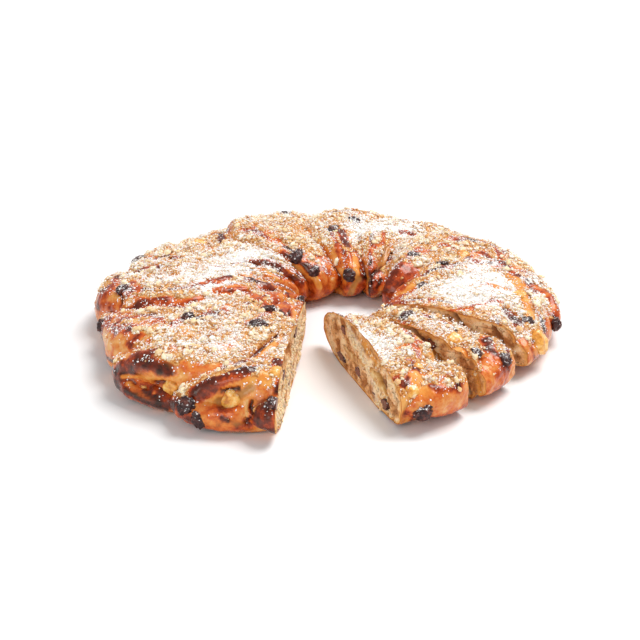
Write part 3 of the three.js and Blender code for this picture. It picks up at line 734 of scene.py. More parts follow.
def between_cuts(surface, name, rows, columns):
    """Angles of a grid whose rows each run between a piece's two cuts, closer together near the camera."""
    first, last = (cut_angles(surface, cut % 360.0, rows) + 360.0 * (cut // 360.0) for cut in PIECES[name])
    share = np.linspace(0, 1, columns)
    if name == "ring":
        share = np.interp(share, (0, COARSE_COLUMNS, 1), (0, COARSE_LENGTH, 1))
    share = share[:, None]
    return first[None, :] * (1 - share) + last[None, :] * share


def row_turns():
    """Angles round the section, close together where the crust shows and wide apart underneath."""
    low, high = ROW_SPAN
    seen = np.interp(np.linspace(0, 1, ROWS_SEEN), (0, RIM_ROWS[0], 1), (low, RIM_ROWS[1], high))
    under = np.linspace(high, low + 360.0, ROWS_UNDER + 2)[1:-1]
    t = np.radians(np.concatenate([seen, under]))
    return np.degrees(np.arctan2(ROW_FLATNESS * np.sin(t), np.cos(t)))


def grid_normals(points):
    """Outward unit normals of a grid whose rows close on themselves, from central differences."""
    along = np.gradient(points, axis=0)
    around = np.roll(points, -1, axis=1) - np.roll(points, 1, axis=1)
    normal = np.cross(along, around)
    return normal / (np.linalg.norm(normal, axis=-1, keepdims=True) + 1e-9)


def off_line(points, line, width):
    """Distance of points from a line in millimetres, made ragged by noise of two sizes.

    Points further off than its reach along any axis just count as far.
    """
    reach = LINE_REACH * width
    close = np.all((points > line.min(axis=0) - reach) & (points < line.max(axis=0) + reach), axis=-1)
    far = np.full(points.shape[:-1], 4.0 * reach)
    spots = points[close]
    nearest = np.full(len(spots), np.inf)
    for start, end in zip(line[:-1], line[1:]):
        step = end - start
        share = np.clip((spots - start) @ step / (step @ step + 1e-9), 0, 1)
        nearest = np.minimum(nearest, np.linalg.norm(spots - start - share[:, None] * step, axis=1))
    ragged = 0.50 + 0.8 * rich_noise(spots, 6.0, SEED + 40) + 0.2 * soft_noise(spots, 2.4, SEED + 42)
    far[close] = nearest * ragged
    return far


def off_path(points, path, width):
    """The same for a path on the loaf, given by places along the strands and round the section."""
    path = np.array(path, dtype=float)
    steps = np.linspace(0, len(path) - 1, LEG_STEPS * (len(path) - 1) + 1)
    knots = np.arange(len(path))
    line = loaf_points(np.interp(steps, knots, path[:, 0]), np.interp(steps, knots, path[:, 1]))[0]
    return off_line(points, line, width)


def band_of(far, width, fading=0.2):
    """A flat band: 1 within its half width and 0 outside, fading over a share of that width."""
    edge = max(fading * width, NARROW_EDGE)
    return smooth(width + edge, width - edge, far)


def surface_looks(points, normal, angle, around, side, index, across):
    """Masks over the crust from 0 to 1, and the height of its relief in millimetres.

    The crust is browned, covered with streusel, sugared, glazed and tan. Each of these starts from the place
    on its strand and from noise, and then every streak in turn pulls it towards a level of its own; grooves
    pull it dark, which is painted shade in their creases.
    """
    up = normal[..., 2]
    # Where a place lies: on its strand's crest, on the flank behind that, at the hole or at the rim
    crest_at = STRANDS[index, 4]
    crest = hump(across - crest_at, 0.17) * smooth(0.25, 0.60, rich_noise(points, 18.0, SEED + 5))
    flank = smooth(crest_at + 0.06, crest_at + 0.35, across) * smooth(1.02, 0.86, across)
    inner = smooth(0.35, 0.95, -side)
    outer = smooth(0.75, 1.0, side)
    windows = smooth(0.56, 0.70, soft_noise(points, 5.5, SEED + 14))
    # How browned and how bare of streusel that makes it
    brown = BROWN_ALL + BROWN_CREST * crest + BROWN_HOLE * inner + BROWN_RIM * outer + BROWN_FLANK * flank
    brown += patches(points, "browning")
    bare = BARE_FLANK * flank * smooth(0.9, 0.3, up) + BARE_HOLE * inner * smooth(1.0, 0.8, up)
    bare += BARE_CREST * crest
    bare += bells(SPARSE, angle, around)
    bare += BARE_WINDOW * windows
    # Every streak in turn; grooves paint shade into their creases
    glaze = GLAZE_FLANK * flank * smooth(0.95, 0.5, up)
    sugar_kept = np.ones_like(up)
    lift, tan, calm = np.zeros_like(up), np.zeros_like(up), np.zeros_like(up)
    for kind, width, path in STREAKS:
        level, bareness, gloss, kept, height, fading = STREAK_KINDS[kind]
        far = off_path(points, path, width)
        band = band_of(far, width, fading)
        brown += (level - brown) * band
        tan += (float(kind == "tan") - tan) * band
        calm += (float(kind == "coral") - calm) * band
        bare += bareness * band
        glaze += (gloss - glaze) * band
        sugar_kept *= 1 - (1 - kept) * band
        lift += height * hump(far, max(width, NARROW_RIDGE))
    brown += patches(points, "mottle") * (1 - 0.6 * calm)
    scorch = smooth(5.0, 0.5, points[..., 2]) * smooth(0.40, 0.62, rich_noise(points, 12.0, SEED + 8))
    brown += SCORCHED * scorch
    # Streusel and sugar lie where the crust faces up, the sugar in heaps and clumps
    cover = smooth(0.2, 0.75, up) * (1 - np.clip(bare, 0, 1))
    cover = smooth(0.22, 0.6, cover + patches(points, "streusel edge"))
    clumps = 0.25 + 0.9 * rich_noise(points, 9.0, SEED + 6) + 0.5 * soft_noise(points, 2.6, SEED + 16)
    sugar = smooth(0.05, 0.65, up) * (SUGAR_ALL + bells(HEAPS, angle, around)) * clumps
    looks = {
        "brown": np.clip(brown, 0, 1),
        "cover": cover,
        "sugar": np.clip(sugar * sugar_kept, 0, 1),
        "glaze": np.clip(glaze, 0, 1),
        "tan": tan,
    }
    # The relief of streaks, crumbs, swells and bubbles
    lumps = soft_noise(points, 2.8, SEED + 9) + 0.5 * soft_noise(points, 1.6, SEED + 10)
    relief = lift + cover * (1.4 * lumps - 0.7)
    relief += patches(points, "crust swells") * (0.6 + 0.4 * cover)
    relief += patches(points, "crust bubbles") * (1 - 0.5 * cover)
    return looks, relief


# Meshes


def add_object(name, data):
    """A new object in the scene."""
    thing = bpy.data.objects.new(name, data)
    bpy.context.scene.collection.objects.link(thing)
    return thing


def build_mesh(name, points, faces, attributes, materials, face_material=None, smooth_faces=True):
    """A piece in metres from points in millimetres, arrays of quads and triangles, and point attributes."""
    mesh = bpy.data.meshes.new(name)
    sizes = np.concatenate([np.full(len(f), f.shape[1], dtype=np.int32) for f in faces])
    loops = np.concatenate([f.ravel() for f in faces]).astype(np.int32)
    mesh.vertices.add(len(points))
    mesh.vertices.foreach_set("co", (points * MM).astype(np.float32).ravel())
    mesh.loops.add(len(loops))
    mesh.loops.foreach_set("vertex_index", loops)
    mesh.polygons.add(len(sizes))
    mesh.polygons.foreach_set("loop_start", (np.cumsum(sizes) - sizes).astype(np.int32))
    mesh.polygons.foreach_set("loop_total", sizes)
    if face_material is not None:
        mesh.polygons.foreach_set("material_index", face_material.astype(np.int32))
    mesh.update(calc_edges=True)
    mesh.validate()
    mesh.polygons.foreach_set("use_smooth", np.full(len(mesh.polygons), smooth_faces))
    for key, values in attributes.items():
        layer = mesh.attributes.new(key, "FLOAT", "POINT")
        layer.data.foreach_set("value", values.astype(np.float32))
    for material in materials:
        mesh.materials.append(material)
    piece = add_object(name, mesh)
    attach(piece, "root")
    return piece


def tube_faces(columns, rows):
    """Quads of a grid whose rows close on themselves, facing out."""
    index = np.arange(columns * rows).reshape(columns, rows)
    a, b = index[:-1], index[1:]
    return np.stack([a, b, np.roll(b, -1, 1), np.roll(a, -1, 1)], axis=-1).reshape(-1, 4)


def shrunk_rings(outline, rings):
    """Rings inside a closed outline that shrink evenly to its middle, and that middle."""
    heart = outline.mean(axis=0)
    shrink = 1 - np.arange(1, rings) / rings
    return heart + (outline[None] - heart) * shrink[:, None, None], heart


def closed_tube(points, name, end_face):
    """A grid between a piece's two cuts, its ends pressed flat onto them and each closed by an end face.

    end_face gives the rings inside an outline, their middle point and their masks. This gives the vertices,
    the quads, the tube's own first, the triangles, and each end's rings, masks and outward direction.
    """
    columns, rows = points.shape[:2]
    count = columns * rows
    grid = np.arange(count).reshape(columns, rows)
    vertices, quads, fans, ends = [], [tube_faces(columns, rows)], [], []
    for column, cut, outward in zip((0, -1), PIECES[name], (-1, 1)):
        off = cut_frame(cut)[1]
        points[column] -= off_cut(points[column], cut)[:, None] * off
        inner, heart, masks = end_face(points[column], cut, outward)
        rings = count + np.arange(len(inner) * rows).reshape(-1, rows)
        levels = np.concatenate([grid[column][None], rings])
        middle = rings[-1, -1] + 1
        count = middle + 1
        o, i = levels[:-1], levels[1:]
        quad = np.stack([o, np.roll(o, -1, 1), np.roll(i, -1, 1), i], axis=-1).reshape(-1, 4)
        fan = np.stack([rings[-1], np.roll(rings[-1], -1), np.full(rows, middle)], axis=-1)
        quads.append(quad[:, ::-outward])
        fans.append(fan[:, ::-outward])
        vertices += [inner.reshape(-1, 3), heart[None]]
        ends.append((inner, masks, outward * off))
    vertices = np.concatenate([points.reshape(-1, 3), *vertices])
    return vertices, [np.concatenate(quads), np.concatenate(fans)], ends


# The filling and the cut faces


def filling_surface(theta, corner):
    """Points of the smooth filling band: a flat rounded section that waves across and along the ring."""
    middle, half, _ = loaf_size(theta)
    across = np.sign(np.cos(corner)) * np.abs(np.cos(corner)) ** 0.6
    wave = FILLING_WAVE * np.sin(FILLING_ACROSS * across + np.radians(FILLING_ROUND * theta))
    up = FILLING_HEIGHT + wave + FILLING_THICK / 2 * np.sin(corner)
    return polar(middle + FILLING_SPREAD * half * across, theta, up)


def filling_end(outline, cut, outward):
    """A filling's end: a lumpy face that stands just proud of its cut."""
    inner, heart = shrunk_rings(outline, FILLING_RINGS)
    proud = END_LUMPS * rich_noise(inner, 2.6, SEED + 31) - END_SUNK
    return inner + outward * cut_frame(cut)[1] * proud[..., None], heart, {}


def filling_piece(name):
    """The filling in one piece of loaf: its wavy band between two cuts, lumpy all over."""
    corner = np.linspace(0, 2 * np.pi, FILLING_ROWS, endpoint=False)
    theta = between_cuts(filling_surface, name, corner, FILLING_COLUMNS[name])
    points = filling_surface(theta, corner[None, :])
    points = points + grid_normals(points) * patches(points, "filling lumps")[..., None]
    vertices, faces, _ = closed_tube(points, name, filling_end)
    piece = build_mesh(name + "_apple_filling", vertices, faces, {}, [filling_material()])
    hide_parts(name + "_filling")


def crumb_relief(points):
    """Roughness of a torn crumb: soft swells less a scatter of round pits and caves, in millimetres."""
    pits = smooth(0.64, 0.82, soft_noise(points, 1.7, SEED + 24))
    caves = smooth(0.78, 0.92, soft_noise(points, 4.2, SEED + 26))
    return patches(points, "crumb swells") - 1.0 * pits - 1.8 * caves


def crumb_looks(points, rind, outline, cut):
    """Masks of a cut face, and how far its seams sink: a cinnamon swirl with painted shade along grooves and
    folds, pale crumbs and amber along each seam.
    """
    out, _ = cut_frame(cut)
    along = along_cut(outline, cut)
    start, length = along.min(), np.ptp(along)
    wander = 7.5 + patches(points, "swirl drift")
    swirl = 0.7 * hump(rind - wander, 0.9) * smooth(0.4, 0.7, rich_noise(points, 10.0, SEED + 28))
    pale, amber, sunk = np.zeros(rind.shape), np.zeros(rind.shape), 0.6 * swirl
    for kind, width, places in CUT_SEAMS[round(cut % 360.0, 1)]:
        depth, dark, crumbs, wet = SEAM_KINDS[kind]
        places = np.array(places)
        line = CUT_PIVOT + (start + length * places[:, :1]) * out
        line = line + CROWN_HEIGHT * places[:, 1:] * np.array([0.0, 0.0, 1.0])
        far = off_line(points, line, width)
        band = band_of(far, width)
        # Grooves and folds darken the swirl: painted shade in the sunken seam
        swirl += dark * band
        pale += crumbs * band
        amber += wet * band
        sunk += depth * hump(far, max(width, NARROW_RIDGE))
    return {"swirl": np.clip(swirl, 0, 1), "pale": np.clip(pale, 0, 1), "amber": np.clip(amber, 0, 1)}, sunk


def crumb_face(outline, cut, outward):
    """A loaf's end: a rough crumb face with its seams, flush with the crust at its rim."""
    inner, heart = shrunk_rings(outline, CRUMB_RINGS)
    rind = np.linalg.norm(outline[None] - inner, axis=-1)
    masks, sunk = crumb_looks(inner, rind, outline, cut)
    height = (crumb_relief(inner) - sunk) * smooth(0.0, RIND_EASE, rind)
    inner = inner + outward * cut_frame(cut)[1] * height[..., None]
    inner[..., 2] = np.maximum(inner[..., 2], 0)
    return inner, heart, {**masks, "rind": rind}


def loaf_piece(name):
    """One cut piece of the loaf: its crust between two cuts, and a rough crumb face on each cut."""
    rows = row_turns()
    angle = between_cuts(lambda a, r: loaf_points(a, r)[0], name, rows, CRUST_COLUMNS[name])
    around = np.broadcast_to(rows, angle.shape)
    points, *strand = loaf_points(angle, around)
    looks, relief = surface_looks(points, grid_normals(points), angle, around, *strand)
    relief = relief * smooth(0.0, FLOOR_EASE, points[..., 2])
    points = points + grid_normals(points) * relief[..., None]
    points[..., 2] = np.maximum(points[..., 2], 0)
    vertices, faces, ends = closed_tube(points, name, crumb_face)
    attributes = {}
    for key in (*looks, *ends[0][1]):
        values = [looks.get(key, np.zeros(angle.shape)).ravel()]
        for inner, face_masks, _ in ends:
            filled = face_masks.get(key, np.zeros(inner.shape[:2]))
            values += [filled.ravel(), filled[-1].mean(keepdims=True)]
        attributes[key] = np.concatenate(values)
    is_crumb = np.arange(len(faces[0]) + len(faces[1])) >= (len(angle) - 1) * len(rows)
    materials = [crust_material(), crumb_material()]
    piece = build_mesh(name + "_crust", vertices, faces, attributes, materials, is_crumb)
    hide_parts(name + "_dough")
    return points, looks, ends


# Materials


def set_inputs(tree, node, values):
    """Sets a node's inputs, or links them, by name or number. A colour needs no alpha."""
    for key, value in values.items():
        socket = node.inputs[key]
        if isinstance(value, bpy.types.NodeSocket):
            tree.links.new(value, socket)
        elif socket.type == "RGBA":
            socket.default_value = (*value[:3], 1.0)
        else:
            socket.default_value = value


def add_node(tree, kind, values=None, **settings):
    """A node with its settings and inputs."""
    node = tree.nodes.new(kind)
    for key, value in settings.items():
        setattr(node, key, value)
    set_inputs(tree, node, values or {})
    return node


def maths(tree, operation, a, b=0.0, clamp=False):
    """One Math node's result."""
    return add_node(tree, "ShaderNodeMath", {0: a, 1: b}, operation=operation, use_clamp=clamp).outputs[0]


def times(tree, a, b):
    """The product of two values."""
    return maths(tree, "MULTIPLY", a, b)


def total(tree, *values, clamp=False):
    """The sum of several values, held between 0 and 1 where clamp is true."""
    result = values[0]
    for value in values[1:-1]:
        result = maths(tree, "ADD", result, value)
    return maths(tree, "ADD", result, values[-1], clamp)


def swing(tree, value, amount):
    """A value less a half, times an amount: noise that swings about 0."""
    return times(tree, maths(tree, "SUBTRACT", value, 0.5), amount)


def span(tree, value, low, high, to_low=0.0, to_high=1.0):
    """A value's range mapped to another range along an S-curve, with no overshoot."""
    return add_node(tree, "ShaderNodeMapRange", {
        0: value, 1: low, 2: high, 3: to_low, 4: to_high}, interpolation_type="SMOOTHSTEP").outputs[0]


def ramp(tree, value, stops):
    """A colour ramp over a value: stops are (position, colour) pairs."""
    node = add_node(tree, "ShaderNodeValToRGB", {0: value})
    elements = node.color_ramp.elements
    while len(elements) < len(stops):
        elements.new(0.5)
    for element, (position, colour) in zip(elements, stops):
        element.position = position
        element.color = (*colour, 1.0)
    return node.outputs[0]


def mix(tree, share, a, b):
    """A blend of two colours by a share."""
    return add_node(tree, "ShaderNodeMix", {0: share, 6: a, 7: b}, data_type="RGBA").outputs[2]


def mask_of(tree, name):
    """A point attribute as a value."""
    return add_node(tree, "ShaderNodeAttribute", attribute_name=name).outputs["Fac"]


def object_place(tree):
    """The place on the object, in metres."""
    return add_node(tree, "ShaderNodeTexCoord").outputs["Object"]


def noise(tree, place, scale, detail=3.0, roughness=0.55):
    """Noise over a place; scale is in cells a metre."""
    return add_node(tree, "ShaderNodeTexNoise", {
        "Vector": place, "Scale": scale, "Detail": detail, "Roughness": roughness}).outputs[0]


def new_material(name):
    """A new material, its node tree and its place on the object."""
    material = bpy.data.materials.new(name)
    material.use_nodes = True
    return material, material.node_tree, object_place(material.node_tree)


def shade(tree, values, relief=None, scatter=0.0):
    """Fills in the Principled shader: its inputs, a bump, and the share of light that scatters inside.

    relief is the bump's strength, its depth in millimetres and its height.
    """
    values = dict(values)
    if relief:
        strength, depth, height = relief
        values["Normal"] = add_node(tree, "ShaderNodeBump", {
            "Strength": strength, "Distance": depth * MM, "Height": height}).outputs[0]
    if scatter:
        values.update({
            "Subsurface Weight": scatter, "Subsurface Radius": SCATTER_REACH, "Subsurface Scale": 1.0})
    set_inputs(tree, tree.nodes["Principled BSDF"], values)


@functools.cache
def sugar_dust_group():
    """Powdered sugar: takes a surface's colour and how much sugar lies there, gives colour and cover."""
    group = bpy.data.node_groups.new("powdered sugar", "ShaderNodeTree")
    for name, kind, way in (
        ("Color", "NodeSocketColor", "INPUT"),
        ("Amount", "NodeSocketFloat", "INPUT"),
        ("Color", "NodeSocketColor", "OUTPUT"),
        ("Cover", "NodeSocketFloat", "OUTPUT"),
    ):
        group.interface.new_socket(name=name, in_out=way, socket_type=kind)
    given = group.nodes.new("NodeGroupInput")
    place = object_place(group)
    grain = noise(group, place, 900.0, 3.0, 0.7)
    cluster = noise(group, place, 230.0, 2.0, 0.6)
    normal = add_node(group, "ShaderNodeNewGeometry").outputs["Normal"]
    facing = add_node(group, "ShaderNodeSeparateXYZ", {0: normal}).outputs[2]
    amount = times(group, given.outputs["Amount"], span(group, facing, -0.1, 0.8))
    speck = total(group, times(group, grain, 0.62), times(group, cluster, 0.38))
    level = maths(group, "SUBTRACT", 0.73, times(group, amount, 0.36))
    cover = span(group, maths(group, "SUBTRACT", speck, level), -0.02, 0.05)
    cover = times(group, cover, span(group, amount, 0.02, 0.2))
    white = mix(group, cover, given.outputs["Color"], (0.99, 0.975, 0.955))
    add_node(group, "NodeGroupOutput", {"Color": white, "Cover": cover})
    return group


def dusted(tree, colour, amount):
    """Colour and cover after powdered sugar."""
    values = {"Color": colour, "Amount": amount}
    node = add_node(tree, "ShaderNodeGroup", values, node_tree=sugar_dust_group())
    return node.outputs["Color"], node.outputs["Cover"]


@functools.cache
def crust_material():
    """Egg-washed crust: pale gold to orange to mahogany as it browns, dull and pale under streusel; painted
    shade in grooves and between crumbs.
    """
    material, tree, place = new_material("baked crust")
    patch = noise(tree, place, 160.0, 4.0)
    fleck = noise(tree, place, 700.0)
    blister = noise(tree, place, 380.0, 3.0, 0.6)
    uneven = swing(tree, patch, 0.45), swing(tree, blister, 0.55), swing(tree, fleck, 0.2)
    brown = total(tree, mask_of(tree, "brown"), *uneven, clamp=True)
    crust = ramp(tree, brown, [
        (0.0, (0.80, 0.43, 0.150)),
        (0.16, (0.74, 0.27, 0.062)),
        (0.34, (0.65, 0.135, 0.020)),
        (0.52, (0.42, 0.050, 0.006)),
        (0.72, (0.16, 0.020, 0.007)),
        (1.0, (0.030, 0.009, 0.006)),
    ])
    glazed = mix(tree, times(tree, mask_of(tree, "glaze"), 0.55), crust, (0.80, 0.34, 0.045))
    glazed = mix(tree, times(tree, mask_of(tree, "tan"), 0.8), glazed, (0.46, 0.23, 0.060))
    # The crust under streusel: orange-brown and cream, and at its darkest stop painted shade between the
    # crumbs
    bed_and_shade = ramp(tree, noise(tree, place, 520.0, 4.0, 0.7), [
        (0.36, (0.36, 0.10, 0.020)),
        (0.50, (0.62, 0.27, 0.068)),
        (0.66, (0.88, 0.61, 0.31)),
    ])
    cover = span(tree, mask_of(tree, "cover"), 0.2, 0.8)
    colour, dust = dusted(tree, mix(tree, cover, glazed, bed_and_shade), mask_of(tree, "sugar"))
    rough = span(tree, brown, 0.2, 0.8, 0.40, 0.24)
    rough = total(tree, rough, times(tree, cover, 0.35), times(tree, dust, 0.5), clamp=True)
    crumbs = times(tree, cover, noise(tree, place, 420.0, 4.0, 0.7))
    height = total(tree, times(tree, fleck, 0.5), times(tree, dust, 0.3), times(tree, blister, 0.9), crumbs)
    shade(tree, {
        "Base Color": colour,
        "Roughness": rough,
        "Coat Weight": span(tree, maths(tree, "MAXIMUM", cover, dust), 0.0, 0.6, 0.5, 0.0),
        "Coat Roughness": 0.12,
        "Specular IOR Level": 0.2,
        "Specular Tint": (1.0, 0.72, 0.52),
    }, (0.65, 0.6, height), scatter=0.12)
    return material


@functools.cache
def crumb_material():
    """Cut crumb: tan with pores darkened as painted shade, cinnamon with painted shade, pale crumbs and amber
    in its seams, and a browned rind.
    """
    material, tree, place = new_material("cut crumb")
    tone = ramp(tree, noise(tree, place, 110.0), [
        (0.40, (0.46, 0.175, 0.052)),
        (0.50, (0.84, 0.46, 0.20)),
        (0.60, (0.96, 0.71, 0.43)),
    ])
    # Pores and fine specks: painted shade in the crumb's holes, which also dent the bump
    pores = add_node(tree, "ShaderNodeTexVoronoi", {"Vector": place, "Scale": 420.0, "Randomness": 1.0})
    strength = span(tree, noise(tree, place, 260.0, 2.0), 0.42, 0.58)
    pore_shade = times(tree, span(tree, pores.outputs["Distance"], 0.10, 0.34, 1.0, 0.0), strength)
    speckle = span(tree, noise(tree, place, 850.0, 2.0, 0.6), 0.36, 0.46, 0.75, 0.0)
    pore_shade = maths(tree, "MAXIMUM", pore_shade, times(tree, speckle, strength))
    amber = mask_of(tree, "amber")
    fleck = span(tree, noise(tree, place, 420.0, 3.0, 0.7), 0.40, 0.58)
    creamy = times(tree, mask_of(tree, "pale"), total(tree, times(tree, fleck, 0.4), 0.5))
    ragged = span(tree, noise(tree, place, 300.0, 2.0), 0.25, 0.6, 0.5, 1.0)
    rind = mask_of(tree, "rind")
    colour = tone
    # Stains in turn: painted shade in pores, cinnamon with the painted shade of grooves and folds, pale
    # crumbs, amber and the browned rind
    for share, stain in (
        (times(tree, pore_shade, 0.92), (0.30, 0.095, 0.028)),
        (times(tree, mask_of(tree, "swirl"), 0.92), (0.25, 0.085, 0.025)),
        (creamy, (0.98, 0.79, 0.57)),
        (times(tree, amber, 0.9), (0.82, 0.36, 0.070)),
        (times(tree, span(tree, rind, 1.2, 3.4, 0.9, 0.0), ragged), (0.84, 0.42, 0.105)),
        (times(tree, span(tree, rind, 0.3, 1.4, 1.0, 0.0), ragged), (0.52, 0.15, 0.026)),
    ):
        colour = mix(tree, share, colour, stain)
    height = maths(tree, "SUBTRACT", times(tree, noise(tree, place, 500.0, 4.0, 0.65), 0.8), pore_shade)
    shade(tree, {
        "Base Color": colour,
        "Roughness": span(tree, amber, 0.1, 0.8, 0.75, 0.30),
        "Specular IOR Level": 0.3,
    }, (0.8, 0.7, height), scatter=0.15)
    return material


@functools.cache
def filling_material():
    """Moist apple and cinnamon filling: amber to brown, wet."""
    material, tree, place = new_material("apple filling")
    tone = ramp(tree, noise(tree, place, 240.0, 4.0, 0.6), [
        (0.34, (0.46, 0.17, 0.035)),
        (0.48, (0.68, 0.34, 0.08)),
        (0.64, (0.84, 0.62, 0.30)),
    ])
    shade(tree, {"Base Color": tone, "Roughness": 0.4}, (0.6, 0.6, noise(tree, place, 500.0)))
    return material


@functools.cache
def raisin_material():
    """Raisin skin: near black with a purple-brown sheen, redder where cut, with a little sugar."""
    material, tree, place = new_material("raisin skin")
    skin = ramp(tree, noise(tree, place, 350.0), [
        (0.30, (0.016, 0.007, 0.008)),
        (0.52, (0.058, 0.020, 0.018)),
        (0.72, (0.19, 0.060, 0.042)),
    ])
    flesh = ramp(tree, noise(tree, place, 500.0), [
        (0.35, (0.10, 0.026, 0.014)),
        (0.60, (0.25, 0.070, 0.034)),
    ])
    colour, dust = dusted(tree, mix(tree, mask_of(tree, "flesh"), skin, flesh), mask_of(tree, "sugar"))
    rough = total(tree, times(tree, dust, 0.4), 0.33)
    shade(tree, {
        "Base Color": colour, "Roughness": rough, "Specular IOR Level": 0.3,
    }, (0.5, 0.4, noise(tree, place, 900.0)))
    return material


@functools.cache
def apple_material():
    """Cooked apple: warm cream and yellow, wet and a little see-through."""
    material, tree, place = new_material("cooked apple")
    tone = ramp(tree, noise(tree, place, 230.0, 4.0, 0.6), [
        (0.36, (0.54, 0.17, 0.020)),
        (0.50, (0.84, 0.39, 0.062)),
        (0.66, (0.95, 0.62, 0.23)),
    ])
    colour, _ = dusted(tree, tone, 0.4)
    shade(tree, {"Base Color": colour, "Roughness": 0.28}, (0.3, 0.5, noise(tree, place, 400.0)), scatter=0.2)
    return material


@functools.cache
def streusel_material():
    """Baked butter crumbs: cream to toasted gold by each crumb's tone, sugared on top."""
    material, tree, place = new_material("streusel crumb")
    grain = swing(tree, noise(tree, place, 600.0), 0.5)
    tone = ramp(tree, total(tree, mask_of(tree, "tone"), grain, clamp=True), [
        (0.0, (0.46, 0.15, 0.030)),
        (0.25, (0.74, 0.36, 0.12)),
        (0.55, (0.93, 0.65, 0.36)),
        (1.0, (0.97, 0.81, 0.58)),
    ])
    colour, _ = dusted(tree, tone, mask_of(tree, "sugar"))
    shade(tree, {
        "Base Color": colour, "Roughness": 0.7, "Specular IOR Level": 0.35,
    }, (0.5, 0.4, noise(tree, place, 900.0)), scatter=0.2)
    return material


@functools.cache
def sugar_material():
    """Specks of powdered sugar."""
    material, tree, place = new_material("sugar specks")
    tone = ramp(tree, noise(tree, place, 300.0, 2.0), [
        (0.35, (0.97, 0.955, 0.94)),
        (0.65, (1.0, 0.995, 0.985)),
    ])
    shade(tree, {"Base Color": tone, "Roughness": 0.8})
    return material


# Crumbs and sugar that are scattered over the crust


def base_ball(kind):
    """Vertices and triangles of a small ball of 8, 20 or 80 faces, round the origin with radius 1."""
    bm = bmesh.new()
    if kind == 8:
        bmesh.ops.create_uvsphere(bm, u_segments=4, v_segments=2, radius=1.0)
    else:
        bmesh.ops.create_icosphere(bm, subdivisions=1 if kind == 20 else 2, radius=1.0)
    bm.verts.index_update()
    vertices = np.array([v.co[:] for v in bm.verts])
    faces = np.array([[v.index for v in f.verts] for f in bm.faces])
    bm.free()
    return vertices, faces


def surface_cells(grids):
    """Middle, side vectors, outward normal, area and masks of every cell of several grids of points."""
    cells = {}
    for points, looks, *_ in grids:
        a, b = points[:-1], points[1:]
        c, d = np.roll(b, -1, 1), np.roll(a, -1, 1)
        along, around = (b + c - a - d) / 2, (c + d - a - b) / 2
        cross = np.cross(along, around)
        area = np.linalg.norm(cross, axis=-1)
        parts = {
            "middle": (a + b + c + d) / 4,
            "along": along,
            "around": around,
            "area": area,
            "normal": cross / (area[..., None] + 1e-9),
        }
        parts.update({key: (value[:-1] + value[1:]) / 2 for key, value in looks.items()})
        for key, value in parts.items():
            flat = value.reshape(-1, 3) if value.ndim == 3 else value.ravel()
            cells.setdefault(key, []).append(flat)
    return {key: np.concatenate(values) for key, values in cells.items()}


def node_points(name):
    """The distinct vertices of a CAD node in millimetres."""
    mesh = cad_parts[name].data
    flat = np.empty(len(mesh.vertices) * 3, dtype=np.float32)
    mesh.vertices.foreach_get("co", flat)
    return np.unique(np.round(flat.reshape(-1, 3) / MM, 3), axis=0).astype(float)


def topping_names(kind):
    """The CAD nodes of a kind, in order."""
    return sorted(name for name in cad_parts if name.startswith(kind))


def scatter(cells, weight, count, radius, rng, cuts=CUTS):
    """Random places on cells by weight and area, clear of the raisins, the apple pieces and the given cuts.

    Gives points, normals and the index of each place's cell.
    """
    chance = weight * cells["area"]
    pick = rng.choice(len(chance), size=count, p=chance / chance.sum())
    shift = rng.random((2, count, 1)) - 0.5
    spots = cells["middle"][pick] + shift[0] * cells["along"][pick] + shift[1] * cells["around"][pick]
    keep = np.ones(count, dtype=bool)
    for cut in cuts:
        keep &= (np.abs(off_cut(spots, cut)) > CUT_CLEAR * radius) | (along_cut(spots, cut) < 0)
    for name in topping_names("raisin") + topping_names("apple"):
        corners = node_points(name)
        size = np.ptp(corners, axis=0).max()
        keep &= np.linalg.norm(spots - corners.mean(axis=0), axis=1) > TOPPING_CLEAR * size
    return spots[keep], cells["normal"][pick[keep]], pick[keep]


def random_sizes(rng, count, limits, power):
    """Random radii between two limits, mostly small ones where the power is high."""
    low, high = limits
    return low + (high - low) * rng.random(count) ** power


def lump_points(ball, spots, normals, sizes, flatness, rng):
    """Vertices of many lumps: uneven balls, flattened along the surface normal and turned about it."""
    count = len(spots)
    first = np.cross(normals, rng.normal(size=(count, 3)))
    first /= np.linalg.norm(first, axis=1, keepdims=True) + 1e-9
    second = np.cross(normals, first)
    radii = 1 + LUMP_WOBBLE * rng.uniform(-1, 1, size=(count, len(ball)))
    stretch = rng.uniform(*LUMP_STRETCH, size=(count, 1))
    local = ball[None] * radii[..., None]
    x = local[..., 0] * stretch
    y = local[..., 1] / stretch
    z = local[..., 2] * flatness + (flatness - LUMP_SUNK)
    out = x[..., None] * first[:, None] + y[..., None] * second[:, None] + z[..., None] * normals[:, None]
    return spots[:, None] + out * sizes[:, None, None]


def scattered_piece(name, kind, spots, normals, sizes, masks, rng, sugar=False):
    """One joined mesh of many crumbs, or of flat-faced specks of sugar, with each lump's own masks."""
    ball, faces = base_ball(kind)
    points = lump_points(ball, spots, normals, sizes, SPECK_FLATNESS if sugar else LUMP_FLATNESS, rng)
    points[..., 2] = np.clip(points[..., 2], LOWEST, HIGHEST)
    index = faces[None] + len(ball) * np.arange(len(spots))[:, None, None]
    attributes = {key: np.repeat(values, len(ball)) for key, values in masks.items()}
    material = sugar_material() if sugar else streusel_material()
    piece = build_mesh(
        name, points.reshape(-1, 3), [index.reshape(-1, 3)], attributes, [material], smooth_faces=not sugar)


